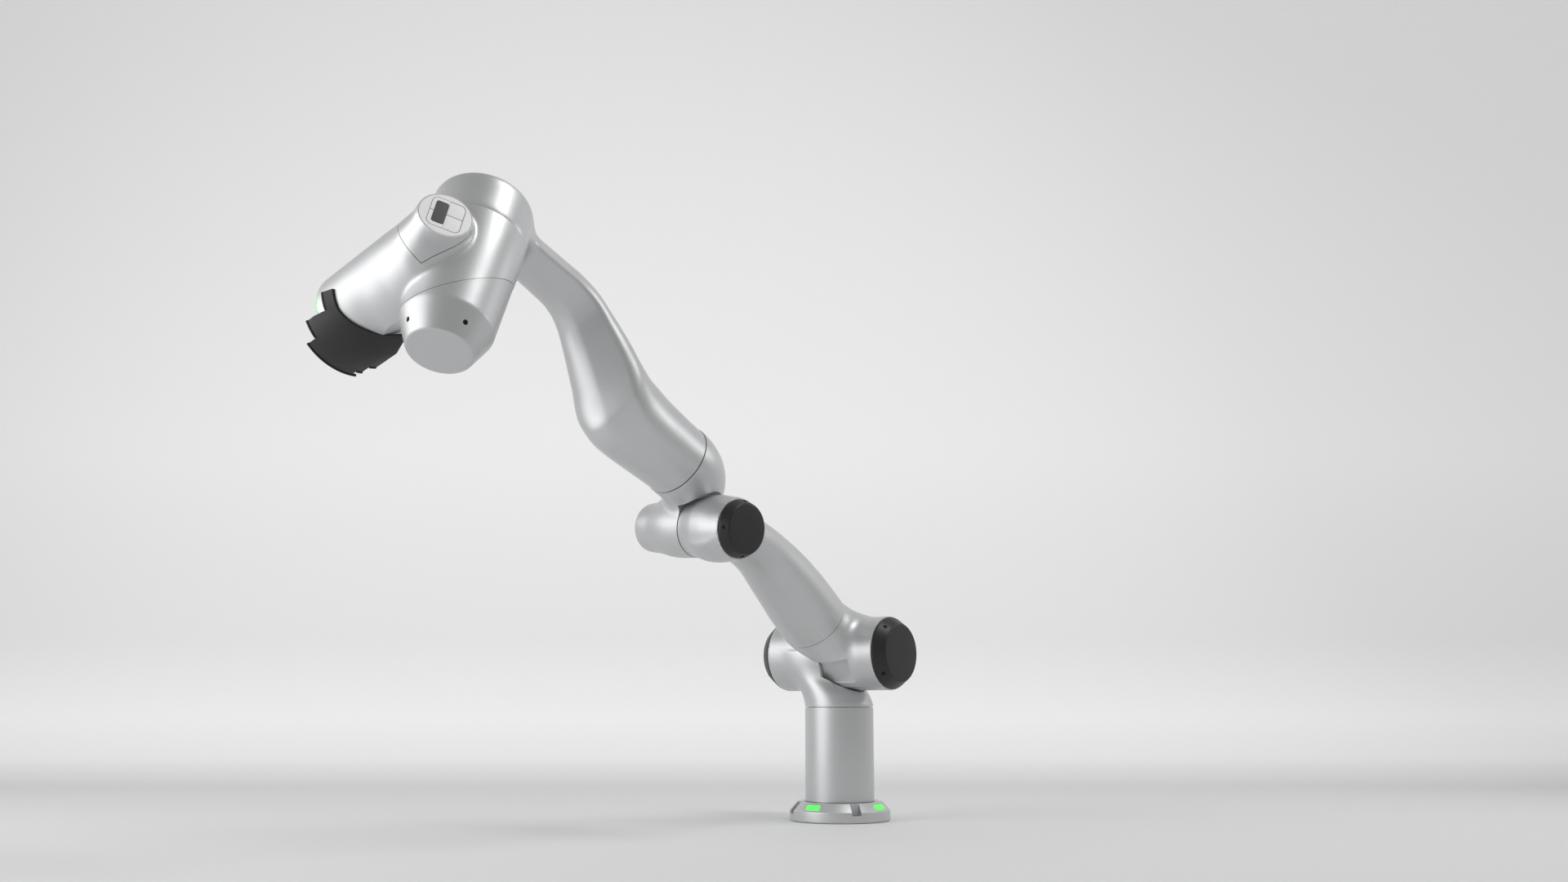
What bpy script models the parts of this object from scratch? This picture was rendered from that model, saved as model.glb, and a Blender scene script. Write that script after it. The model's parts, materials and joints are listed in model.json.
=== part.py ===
"""Seven-axis collaborative robot arm, posed with its upper arm raised and its wrist panel facing sideways.

Each knuckle is two half housings side by side on one axis. The even joints turn one half against the
other, and the odd joints turn a neck about its own length. Origin: middle of the base's underside.
+Z is up, +X is the direction of reach, +Y runs along the shoulder axis.
"""
import math

import bmesh
import bpy
from mathutils import Matrix, Vector

# ---- driving dimensions, in metres and degrees ----
SEAM = 0.0008               # gap between two casings that turn against each other
FIT = 0.0004                # clearance between fitted pieces
ROUND = 32                  # sides of a large turned piece
SMALL_ROUND = 12            # sides of a screw or a socket
SCREW_AZIMUTH = 3.5 * 360 / ROUND   # the middle of a cone's flat side, so each pocket lies in one face

BASE_RADIUS, BASE_RIM_HEIGHT = 0.088, 0.0175
BASE_TOP_RADIUS, BASE_HEIGHT = 0.075, 0.032
BASE_BORE, BASE_FLOOR = 0.040, 0.006
COLUMN_RADIUS, COLUMN_BORE, COLUMN_TOP = 0.0605, 0.050, 0.1933
NOTCH_WIDTH, NOTCH_FLOOR, NOTCH_INNER = 0.017, 0.0125, 0.0695
NOTCH_AZIMUTH, WINDOW_AZIMUTH = 54.7, 1.7
BOLT_HOLE_RADIUS, BOLT_CIRCLE = 0.0045, 0.0787
WINDOW_LENGTH, WINDOW_WIDTH, WINDOW_DEPTH = 0.027, 0.0105, 0.004

SHOULDER_HEIGHT = 0.2856    # base underside to the shoulder axis
SHOULDER_RADIUS, SHOULDER_HALF = 0.0635, 0.112
SHOULDER_BORE = 0.047
CAP_DISC_RADIUS, CAP_THICKNESS = 0.0495, 0.0215
RAISE_ANGLE = 37.0          # upper arm above the horizon
NECK_LENGTH, NECK_RADIUS, NECK_BORE = 0.0923, 0.059, 0.048

UPPER_ARM_LENGTH, UPPER_ARM_OFFSET = 0.4105, 0.0723
UPPER_ARM_TWIST = -6.97     # the elbow axis about the upper arm's length
ELBOW_RADIUS, ELBOW_RIM_RADIUS, ELBOW_HALF = 0.0545, 0.0475, 0.0913
ELBOW_BORE = 0.036
ELBOW_DISC_RADIUS, ELBOW_CAP_THICKNESS = 0.040, 0.018
ELBOW_DRUM = ((0.046, -0.010), (0.047, 0.004), (0.0535, 0.036), (0.0535, 0.050), (0.049, 0.0873), (0.0478, 0.0913))
ELBOW_HORN = ((0.047, 0.010), (0.047, 0), (0.043, -0.040), (0.037, -0.080), (0.027, -0.106), (0.012, -0.118))
ELBOW_HORN_BORE, ELBOW_HORN_DEPTH = 0.030, 0.070
ELBOW_ANGLE, ELBOW_OFFSET = 13.16, 0.0691

FOREARM_SEAM, FOREARM_RADIUS, FOREARM_BORE = 0.0962, 0.0596, 0.046
FOREARM_LENGTH, FOREARM_LIFT, FOREARM_RISE = 0.5623, 0.0788, 0.048
FOREARM_TWIST = -71.0       # the wrist axis about the forearm's length
MOTOR_RADIUS, MOTOR_DEPTH = 0.042, 0.100    # the bore for the motor in each arm's neck
WALL = 0.008                # of the hollow lengths of the upper arm and forearm
WRIST_TOP_RADIUS, WRIST_RADIUS, WRIST_BORE = 0.0724, 0.0638, 0.050
WRIST_LENGTH, WRIST_CONE, WRIST_DISC_RADIUS = 0.1648, 0.0432, 0.0453
WRIST_CABLE_BORE = 0.040
WRIST_CROWN = ((0.0724, 0.010), (0.0724, -0.045), (0.069, -0.060), (0.062, -0.070), (0.056, -0.0735))
WRIST_TURN = -84.0          # the wrist tube about the wrist axis, from the forearm's length
COVER_TILT, COVER_AT = 38.6, 0.1112   # the end cover's slanting upper edge

TUBE_OFFSET, TUBE_DROP, TUBE_RADIUS, TUBE_BORE = 0.0445, 0.0673, 0.0662, 0.038
TUBE_FACE, TUBE_END = 0.194, 0.197   # the tube's far face and the light ring's, from its middle
PANEL_SIDE, PANEL_OUT, PANEL_RISE = 0.0341, 0.0583, 0.0149
PANEL_TILT, PANEL_RADIUS = 21.6, 0.0368
PANEL_THICKNESS, PANEL_RIM = 0.002, 0.0018   # the white panel, and the pod's rim round it
POD_TILT, POD_AT = 23.6, 0.0014      # the seam between the tube and its panel cap
KEY_TRAVEL, KEY_HEIGHT, KEY_DEPTH = 0.001, 0.0008, 0.003
KEYS = (0.0009, -0.0248, 0.0230, 0.0260)          # the two white keys on the panel: low x, low y, high x, high y
GRIP_KEY = (-0.0160, -0.0183, 0.0005, 0.0204)
KEYS_SPLIT = 0.0009
TOOL_RADIUS, TOOL_THICKNESS, TOOL_BOLT_CIRCLE = 0.0315, 0.009, 0.025
GUARD_RADIUS, GUARD_ARC, GUARD_END = 0.0845, (20, 126), 0.219
GUARD_STEPS = ((20, 40, 0.160), (40, 60, 0.199))  # from and to degrees, and where the guard ends there
COVER_SCREW_AZIMUTH = 3.75

# sections from seam to knuckle: share of the way, share of the sideways shift, share of the drop, then
# half width and half height
UPPER_ARM_SECTIONS = (
    (0, 0, 0, 0.0596, 0.0596), (0.15, 0, 0, 0.059, 0.059), (0.3, 0.06, 0.02, 0.056, 0.056),
    (0.45, 0.2, 0.1, 0.051, 0.052), (0.6, 0.45, 0.25, 0.045, 0.047), (0.75, 0.75, 0.5, 0.042, 0.045),
    (0.9, 0.95, 0.82, 0.041, 0.045), (1, 1, 1, 0.040, 0.045))
# the same for the forearm: share of the way, share of the rise, half height, half width
FOREARM_SECTIONS = (
    (0, 0, 0.0596, 0.0596), (0.16, 0, 0.0625, 0.0625), (0.28, 0.03, 0.066, 0.066), (0.35, 0.13, 0.0655, 0.067),
    (0.42, 0.40, 0.054, 0.061), (0.51, 0.71, 0.043, 0.051), (0.57, 0.89, 0.0365, 0.045),
    (0.62, 0.97, 0.0335, 0.041), (0.67, 1, 0.032, 0.039), (0.8, 1, 0.031, 0.037), (1, 1, 0.027, 0.036))
# the tube and its pod: distance from the tube's middle, share of the way to the panel's centre, radius
TUBE_SECTIONS = (
    (-TUBE_FACE, 0, TUBE_RADIUS), (-0.06, 0, TUBE_RADIUS), (-0.03, 0, 0.0658), (0, 0.06, 0.0640),
    (0.020, 0.25, 0.0575), (0.038, 0.55, 0.0480), (0.050, 0.85, 0.0405))

X, Y, Z = Vector((1, 0, 0)), Vector((0, 1, 0)), Vector((0, 0, 1))


# ---- axes, worked out from the dimensions above ----
def turned_about(vector, axis, degrees):
    return Matrix.Rotation(math.radians(degrees), 3, axis) @ vector


def frame(origin, z_axis, x_hint):
    """A placing matrix whose z runs along z_axis and whose x leans towards x_hint."""
    z = z_axis.normalized()
    x = (x_hint - x_hint.dot(z) * z).normalized()
    y = z.cross(x)
    return Matrix.Translation(origin) @ Matrix((x, y, z)).transposed().to_4x4()


SHOULDER = Vector((0, 0, SHOULDER_HEIGHT))
ARM = Vector((math.cos(math.radians(RAISE_ANGLE)), 0, math.sin(math.radians(RAISE_ANGLE))))
ELBOW_AXIS = turned_about(Y, ARM, UPPER_ARM_TWIST)
ELBOW = SHOULDER + UPPER_ARM_LENGTH * ARM + UPPER_ARM_OFFSET * ELBOW_AXIS.cross(ARM)
REACH = turned_about(ARM, ELBOW_AXIS, ELBOW_ANGLE)
REACH_START = ELBOW - ELBOW_OFFSET * ELBOW_AXIS.cross(REACH)
WRIST_AXIS = turned_about(ELBOW_AXIS, REACH, FOREARM_TWIST)
WRIST = REACH_START + FOREARM_LENGTH * REACH - FOREARM_LIFT * WRIST_AXIS
TUBE = turned_about(REACH, WRIST_AXIS, WRIST_TURN)
TUBE_SIDE = WRIST_AXIS.cross(TUBE)
TUBE_MIDDLE = WRIST + TUBE_OFFSET * TUBE_SIDE + TUBE_DROP * WRIST_AXIS
PANEL_NORMAL = turned_about(TUBE, WRIST_AXIS, PANEL_TILT)
PANEL = TUBE_MIDDLE + PANEL_SIDE * TUBE_SIDE + PANEL_OUT * TUBE - PANEL_RISE * WRIST_AXIS

BASE_FRAME = frame(Vector(), Z, X)
SHOULDER_FRAME = frame(SHOULDER, Y, Z)
NECK_FRAME = frame(SHOULDER, ARM, Y)
ELBOW_FRAME = frame(ELBOW, ELBOW_AXIS, ARM)
FOREARM_FRAME = frame(REACH_START, REACH, ELBOW_AXIS)
WRIST_FRAME = frame(WRIST, WRIST_AXIS, TUBE_SIDE)
TUBE_FRAME = frame(TUBE_MIDDLE, TUBE, TUBE_SIDE)
PANEL_FRAME = frame(PANEL, PANEL_NORMAL, -TUBE_SIDE)


# ---- building helpers ----
def material(name, colour, roughness, metallic=0.0, glow=0.0):
    made = bpy.data.materials.new(name)
    made.use_nodes = True
    shader = made.node_tree.nodes["Principled BSDF"]
    shader.inputs["Base Color"].default_value = (*colour, 1)
    shader.inputs["Roughness"].default_value = roughness
    shader.inputs["Metallic"].default_value = metallic
    shader.inputs["Emission Color"].default_value = (*colour, 1)
    shader.inputs["Emission Strength"].default_value = glow
    return made


FINISHES = {
    "silver": ((0.62, 0.63, 0.64), 0.35, 0.6),
    "black": ((0.015, 0.015, 0.017), 0.55),
    "white": ((0.85, 0.85, 0.85), 0.4),
    "grey": ((0.09, 0.09, 0.095), 0.6),
    "steel": ((0.45, 0.45, 0.46), 0.3, 1.0),
    "dark_metal": ((0.12, 0.12, 0.13), 0.4, 0.8),
    "light": ((0.1, 0.85, 0.15), 0.3, 0.0, 2.0),
}


def bodies():
    """One empty per moving body, each on its joint's axis and under its parent's empty."""
    places = {
        "base": (BASE_FRAME, None), "shoulder": (BASE_FRAME, "base"),
        "swing": (SHOULDER_FRAME, "shoulder"), "upper_arm": (NECK_FRAME, "swing"),
        "elbow": (ELBOW_FRAME, "upper_arm"), "forearm": (FOREARM_FRAME, "elbow"),
        "wrist": (WRIST_FRAME, "forearm"), "tool": (TUBE_FRAME, "wrist"),
        "key_upper": (PANEL_FRAME, "wrist"), "key_lower": (PANEL_FRAME, "wrist"),
        "key_grip": (PANEL_FRAME, "wrist"),
    }
    made = {}
    for name, (place, parent) in places.items():
        empty = bpy.data.objects.new(name + "_pivot", None)
        bpy.context.collection.objects.link(empty)
        if parent:
            empty.parent = made[parent][0]
            empty.matrix_parent_inverse = made[parent][1].inverted()
        empty.matrix_basis = place
        made[name] = (empty, place)
    return made


class Model:
    """Holds the bodies and materials, and places each finished mesh."""

    def __init__(self):
        self.bodies = bodies()
        self.materials = {name: material(name, *finish) for name, finish in FINISHES.items()}

    def place(self, name, mesh, where, body=None, finish=None):
        """A mesh in its own frame becomes a piece, or a hidden tool when it has no body."""
        made = bpy.data.objects.new(name, mesh)
        bpy.context.collection.objects.link(made)
        if body is None:
            made.hide_render = True
            made.display_type = "WIRE"
            made.hide_viewport = False
        else:
            pivot, pivot_place = self.bodies[body]
            made.parent = pivot
            made.matrix_parent_inverse = pivot_place.inverted()
            made.data.materials.append(self.materials[finish])
        made.matrix_basis = where
        return made


def closed_mesh(name, points, faces):
    """A smooth-shaded mesh from points and faces, with its faces turned outwards."""
    built = bmesh.new()
    corners = [built.verts.new(point) for point in points]
    for face in faces:
        built.faces.new([corners[i] for i in face])
    bmesh.ops.recalc_face_normals(built, faces=built.faces)
    mesh = bpy.data.meshes.new(name)
    built.to_mesh(mesh)
    built.free()
    mesh.shade_smooth()
    mesh.set_sharp_from_angle(angle=math.radians(35))
    return mesh


def lathe(name, profile, sides=ROUND, ring=False):
    """A profile of (radius, height) turned about z. A ring's profile closes on itself."""
    points, faces = [], []
    for radius, height in profile:
        for i in range(sides):
            angle = 2 * math.pi * i / sides
            points.append((radius * math.cos(angle), radius * math.sin(angle), height))
    bands = len(profile) if ring else len(profile) - 1
    for band in range(bands):
        low, high = band * sides, (band + 1) % len(profile) * sides
        for i in range(sides):
            j = (i + 1) % sides
            faces.append((low + i, low + j, high + j, high + i))
    if not ring:
        faces.append(tuple(range(sides)))
        faces.append(tuple(range(len(points) - sides, len(points))))
    return closed_mesh(name, points, faces)


def tube_profile(inner, outer, low, high):
    return [(inner, low), (outer, low), (outer, high), (inner, high)]


def loft(name, sections, sides=ROUND):
    """A closed skin through elliptic sections: (centre, normal, side, half width, half height)."""
    points, faces = [], []
    for centre, normal, side, width, height in sections:
        across = (side - side.dot(normal) * normal).normalized()
        up = normal.cross(across)
        for i in range(sides):
            angle = 2 * math.pi * i / sides
            points.append(centre + width * math.cos(angle) * across + height * math.sin(angle) * up)
    for band in range(len(sections) - 1):
        low, high = band * sides, (band + 1) * sides
        for i in range(sides):
            j = (i + 1) % sides
            faces.append((low + i, low + j, high + j, high + i))
    faces.append(tuple(range(sides)))
    faces.append(tuple(range(len(points) - sides, len(points))))
    return closed_mesh(name, points, faces)


def box(name, low, high):
    corners = [(x, y, z) for x in (low[0], high[0]) for y in (low[1], high[1]) for z in (low[2], high[2])]
    faces = [(0, 1, 3, 2), (4, 6, 7, 5), (0, 4, 5, 1), (2, 3, 7, 6), (0, 2, 6, 4), (1, 5, 7, 3)]
    return closed_mesh(name, corners, faces)


def prism(name, outline, low, high):
    """An outline in x and y, drawn up from low to high."""
    count = len(outline)
    points = [(x, y, low) for x, y in outline] + [(x, y, high) for x, y in outline]
    faces = [tuple(range(count)), tuple(range(count, 2 * count))]
    faces += [(i, (i + 1) % count, count + (i + 1) % count, count + i) for i in range(count)]
    return closed_mesh(name, points, faces)


def rounded_outline(low_x, low_y, high_x, high_y, radii, steps=4):
    """A rectangle with a radius at each corner, anticlockwise from its low corner."""
    centres = [(low_x, low_y, 1, 1), (high_x, low_y, -1, 1), (high_x, high_y, -1, -1), (low_x, high_y, 1, -1)]
    outline = []
    for corner, (x, y, inward_x, inward_y) in enumerate(centres):
        radius = radii[corner]
        middle = (x + inward_x * radius, y + inward_y * radius)
        for step in range(steps + 1):
            angle = math.pi + math.pi / 2 * (corner + step / steps)
            outline.append((middle[0] + radius * math.cos(angle), middle[1] + radius * math.sin(angle)))
    return outline


def grown(sides, spare):
    low_x, low_y, high_x, high_y = sides
    return low_x - spare, low_y - spare, high_x + spare, high_y + spare


def combine(piece, tool, operation):
    step = piece.modifiers.new(operation.lower() + "_" + tool.name, "BOOLEAN")
    step.operation = operation
    step.object = tool
    step.solver = "EXACT"


def smoothstep(value):
    value = min(max(value, 0.0), 1.0)
    return value * value * (3 - 2 * value)


def mixed(first, second, share):
    return first * (1 - share) + second * share


# ---- base ----
def base_at(azimuth, radius, height, lean=0.0):
    """A frame on the base whose x points outwards, its z leaning outwards by lean degrees."""
    spin = Matrix.Rotation(math.radians(azimuth), 4, "Z")
    return spin @ Matrix.Translation((radius, 0, height)) @ Matrix.Rotation(math.radians(lean), 4, "Y")


def make_base(model):
    flange = model.place("base_flange", lathe("base_flange", [
        (BASE_RADIUS - 0.001, 0), (BASE_RADIUS, 0.001), (BASE_RADIUS, BASE_RIM_HEIGHT),
        (BASE_TOP_RADIUS, BASE_HEIGHT), (BASE_BORE, BASE_HEIGHT), (BASE_BORE, BASE_FLOOR)], 2 * ROUND),
        BASE_FRAME, "base", "silver")
    notch = box("notch", (NOTCH_INNER, -NOTCH_WIDTH / 2, NOTCH_FLOOR), (0.1, NOTCH_WIDTH / 2, 0.05))
    hole = lathe("bolt_hole", [(BOLT_HOLE_RADIUS, -0.01), (BOLT_HOLE_RADIUS, 0.03)], SMALL_ROUND)
    lean = math.degrees(math.atan2(BASE_HEIGHT - BASE_RIM_HEIGHT, BASE_RADIUS - BASE_TOP_RADIUS))
    middle_radius = (BASE_RADIUS + BASE_TOP_RADIUS) / 2
    middle_height = (BASE_RIM_HEIGHT + BASE_HEIGHT) / 2
    half = (WINDOW_WIDTH / 2, WINDOW_LENGTH / 2)
    window = prism("window", rounded_outline(-half[0], -half[1], half[0], half[1], [0.003] * 4),
                   -WINDOW_DEPTH, 0.0006)
    pocket_half = (half[0] + FIT, half[1] + FIT)
    pocket = prism("window_pocket", rounded_outline(
        -pocket_half[0], -pocket_half[1], pocket_half[0], pocket_half[1], [0.0034] * 4),
        -WINDOW_DEPTH - FIT, 0.01)
    for i in range(4):
        spin = Matrix.Rotation(math.radians(NOTCH_AZIMUTH + 90 * i), 4, "Z")
        combine(flange, model.place(f"notch_tool_{i}", notch, spin), "DIFFERENCE")
        at_hole = spin @ Matrix.Translation((BOLT_CIRCLE, 0, 0))
        combine(flange, model.place(f"hole_tool_{i}", hole, at_hole), "DIFFERENCE")
        at_window = base_at(WINDOW_AZIMUTH + 90 * i, middle_radius, middle_height, lean)
        combine(flange, model.place(f"pocket_tool_{i}", pocket, at_window), "DIFFERENCE")
        model.place(f"base_light_window_{i + 1}", window.copy(), at_window, "base", "light")
    column = model.place("base_column", lathe("base_column", tube_profile(
        COLUMN_BORE, COLUMN_RADIUS, BASE_HEIGHT + FIT, COLUMN_TOP - SEAM / 2), ring=True),
        BASE_FRAME, "base", "silver")
    socket_place = base_at(180, COLUMN_RADIUS, 0.062, 90)
    socket_hole = lathe("socket_hole", [(0.0105, -0.03), (0.0105, 0.03)], 16)
    combine(column, model.place("socket_tool", socket_hole, socket_place), "DIFFERENCE")
    model.place("base_cable_socket", lathe("base_cable_socket", [
        (0.0101, -0.0090), (0.0101, 0.0006), (0.0135, 0.0006), (0.0135, 0.0036), (0.0105, 0.0036),
        (0.0105, 0.0096), (0.0075, 0.0096), (0.0075, -0.0060), (0.0030, -0.0060), (0.0030, -0.0090)],
        16, ring=True), socket_place, "base", "dark_metal")
    model.place("joint_1_drive", lathe("joint_1_drive", tube_profile(
        0.012, COLUMN_BORE - FIT, 0.085, 0.184), ring=True), BASE_FRAME, "base", "dark_metal")


# ---- shared joint pieces ----
def output_ring(model, number, bore, where, at, body, half=0.0065):
    """The output bearing's ring, which bridges the seam between two casings."""
    model.place(f"joint_{number}_output_ring", lathe("ring", tube_profile(
        0.6 * bore, bore - FIT, at - half, at + half), ring=True), where, body, "dark_metal")


def drive(model, number, bore, where, low, high, body):
    """Motor, gear and brake in one can, with a hollow shaft for the cable through the arm."""
    model.place(f"joint_{number}_drive", lathe("drive", [
        (0.010, low), (bore - FIT, low), (bore - FIT, high - 0.012), (0.8 * bore, high - 0.012),
        (0.8 * bore, high), (0.010, high)], ring=True), where, body, "dark_metal")


def black_cap(model, name, where, body, rim, disc, bore, at, thickness, sign):
    """A conical cap that closes a half housing, with a spigot in its bore."""
    solid = [(bore - FIT, sign * (at - 0.008)), (bore - FIT, sign * (at + FIT)), (rim, sign * (at + FIT)),
             (rim, sign * (at + 0.003)), (disc, sign * (at + thickness))]
    return model.place(name, lathe(name, solid), where, body, "black")


def cap_screws(model, cap, prefix, count, start, rim, disc, at, thickness, where, body, sign):
    """Countersunk screws set square into a cap's cone, each in its own pocket."""
    slope = math.degrees(math.atan2(thickness - 0.003, rim - disc))
    radius, height = (rim + disc) / 2, at + 0.0015 + thickness / 2
    pocket = lathe("screw_pocket", [(0.0037, -0.0055), (0.0037, 0.01)], SMALL_ROUND)
    head = lathe("screw_head", [(0.0012, -0.0045), (0.0033, -0.0045), (0.0033, -0.0020), (0.0017, -0.0020),
                                (0.0017, -0.0035), (0.0012, -0.0035)], SMALL_ROUND, ring=True)
    for i in range(count):
        spin = Matrix.Rotation(math.radians(start + 360 / count * i), 4, "Z")
        lean = Matrix.Rotation(math.radians(slope if sign > 0 else 180 - slope), 4, "Y")
        place = where @ spin @ Matrix.Translation((radius, 0, sign * height)) @ lean
        combine(cap, model.place(f"{prefix}_tool_{i}", pocket, place), "DIFFERENCE")
        model.place(f"{prefix}_{i + 1}", head.copy(), place, body, "steel")


def half_housing(sign, overlap=0.010):
    """One side of the shoulder, from a little past the seam out to its cap."""
    return lathe("half", [(SHOULDER_RADIUS, -sign * overlap), (SHOULDER_RADIUS, sign * (SHOULDER_HALF - 0.004)),
                          (SHOULDER_RADIUS - 0.0012, sign * SHOULDER_HALF)])


def clear_side(model, piece, where, radius, sign, length=0.16):
    """Room for the other half of the knuckle to turn in."""
    tool = lathe("clear", [(radius, sign * -SEAM / 2), (radius, sign * length)])
    combine(piece, model.place(piece.name + "_clear_tool", tool, where), "DIFFERENCE")


def bore_out(model, piece, where, radius, low, high):
    tool = lathe("bore", [(radius, low), (radius, high)])
    label = f"{piece.name}_bore_tool_{len(piece.modifiers)}"
    combine(piece, model.place(label, tool, where), "DIFFERENCE")


def hollow(model, piece, sections):
    """Takes the inside out of a loft between two of its sections."""
    inner = [(centre, normal, side, width - WALL, height - WALL) for centre, normal, side, width, height in sections]
    tool = model.place(piece.name + "_hollow_tool", loft("hollow", inner, 24), Matrix.Identity(4))
    combine(piece, tool, "DIFFERENCE")


def fuse(model, piece, mesh, where):
    label = f"{piece.name}_joined_tool_{len(piece.modifiers)}"
    combine(piece, model.place(label, mesh, where), "UNION")


# ---- shoulder and swing ----
def make_shoulder(model):
    low = COLUMN_TOP + SEAM / 2
    sections = []
    for share in (0, 0.2, 0.4, 0.6, 0.8, 1):
        height = low + (SHOULDER_HEIGHT - low) * share
        centre = Vector((0, -0.052 * smoothstep(share), height))
        sections.append((centre, Z, Y, mixed(COLUMN_RADIUS, 0.050, smoothstep(share)),
                         mixed(COLUMN_RADIUS, SHOULDER_RADIUS - 0.003, share)))
    casing = model.place("shoulder_casing", loft("shoulder_casing", sections), BASE_FRAME,
                         "shoulder", "silver")
    fuse(model, casing, half_housing(-1), SHOULDER_FRAME)
    clear_side(model, casing, SHOULDER_FRAME, SHOULDER_RADIUS + 0.003, 1)
    bore_out(model, casing, SHOULDER_FRAME, SHOULDER_BORE, -0.16, 0.03)
    bore_out(model, casing, BASE_FRAME, COLUMN_BORE, 0.1, COLUMN_TOP + 0.008)
    output_ring(model, 1, COLUMN_BORE, BASE_FRAME, COLUMN_TOP, "shoulder")
    drive(model, 2, SHOULDER_BORE, SHOULDER_FRAME, -0.100, -0.008, "shoulder")
    cap = black_cap(model, "shoulder_cap", SHOULDER_FRAME, "shoulder", SHOULDER_RADIUS - 0.0015,
                    CAP_DISC_RADIUS, SHOULDER_BORE, SHOULDER_HALF, CAP_THICKNESS, -1)
    cap_screws(model, cap, "shoulder_cap_screw", 4, SCREW_AZIMUTH, SHOULDER_RADIUS - 0.0015, CAP_DISC_RADIUS,
               SHOULDER_HALF, CAP_THICKNESS, SHOULDER_FRAME, "shoulder", -1)


def make_swing(model):
    sections = []
    end = NECK_LENGTH - SEAM / 2
    for share in (0, 0.25, 0.5, 0.75, 1):
        along = end * share
        centre = SHOULDER + along * ARM + 0.050 * (1 - smoothstep(share)) * Y
        sections.append((centre, ARM, Y, mixed(0.050, NECK_RADIUS, smoothstep(share)),
                         mixed(SHOULDER_RADIUS - 0.003, NECK_RADIUS, share)))
    casing = model.place("swing_casing", loft("swing_casing", sections), Matrix.Identity(4),
                         "swing", "silver")
    fuse(model, casing, half_housing(1), SHOULDER_FRAME)
    clear_side(model, casing, SHOULDER_FRAME, SHOULDER_RADIUS + 0.003, -1)
    bore_out(model, casing, SHOULDER_FRAME, SHOULDER_BORE, -0.03, 0.16)
    bore_out(model, casing, NECK_FRAME, NECK_BORE, NECK_LENGTH - 0.008, NECK_LENGTH + 0.05)
    output_ring(model, 2, SHOULDER_BORE, SHOULDER_FRAME, 0, "swing")
    model.place("swing_control_board", lathe("board", tube_profile(0.012, 0.044, 0.060, 0.0616), 24, ring=True),
                SHOULDER_FRAME, "swing", "grey")
    cap = black_cap(model, "swing_cap", SHOULDER_FRAME, "swing", SHOULDER_RADIUS - 0.0015,
                    CAP_DISC_RADIUS, SHOULDER_BORE, SHOULDER_HALF, CAP_THICKNESS, 1)
    cap_screws(model, cap, "swing_cap_screw", 4, SCREW_AZIMUTH, SHOULDER_RADIUS - 0.0015, CAP_DISC_RADIUS,
               SHOULDER_HALF, CAP_THICKNESS, SHOULDER_FRAME, "swing", 1)


# ---- upper arm and elbow ----
def make_upper_arm(model):
    start = NECK_LENGTH + SEAM / 2
    drop = ELBOW - SHOULDER - UPPER_ARM_LENGTH * ARM
    side = 0.046 * ELBOW_AXIS
    sections = []
    for share, aside, down, width, height in UPPER_ARM_SECTIONS:
        along = start + (UPPER_ARM_LENGTH + 0.012 - start) * share
        sections.append((SHOULDER + along * ARM + aside * side + down * drop, ARM, ELBOW_AXIS,
                         width, height))
    casing = model.place("upper_arm_casing", loft("upper_arm_casing", sections), Matrix.Identity(4),
                         "upper_arm", "silver")
    fuse(model, casing, lathe("drum", ELBOW_DRUM), ELBOW_FRAME)
    clear_side(model, casing, ELBOW_FRAME, ELBOW_RADIUS + 0.004, -1)
    bore_out(model, casing, ELBOW_FRAME, ELBOW_BORE, -0.03, 0.16)
    bore_out(model, casing, NECK_FRAME, NECK_BORE, 0, NECK_LENGTH + 0.008)
    bore_out(model, casing, NECK_FRAME, MOTOR_RADIUS, NECK_LENGTH, NECK_LENGTH + MOTOR_DEPTH)
    hollow(model, casing, sections[2:7])
    output_ring(model, 3, NECK_BORE, NECK_FRAME, NECK_LENGTH, "upper_arm")
    drive(model, 3, MOTOR_RADIUS, NECK_FRAME, NECK_LENGTH + 0.0085, NECK_LENGTH + 0.082, "upper_arm")
    drive(model, 4, ELBOW_BORE, ELBOW_FRAME, 0.0075, 0.078, "upper_arm")
    cap = black_cap(model, "elbow_outer_cap", ELBOW_FRAME, "upper_arm", ELBOW_RIM_RADIUS - 0.001,
                    ELBOW_DISC_RADIUS, ELBOW_BORE, ELBOW_HALF, ELBOW_CAP_THICKNESS, 1)
    cap_screws(model, cap, "elbow_cap_screw", 4, SCREW_AZIMUTH, ELBOW_RIM_RADIUS - 0.001, ELBOW_DISC_RADIUS,
               ELBOW_HALF, ELBOW_CAP_THICKNESS, ELBOW_FRAME, "upper_arm", 1)


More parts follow.
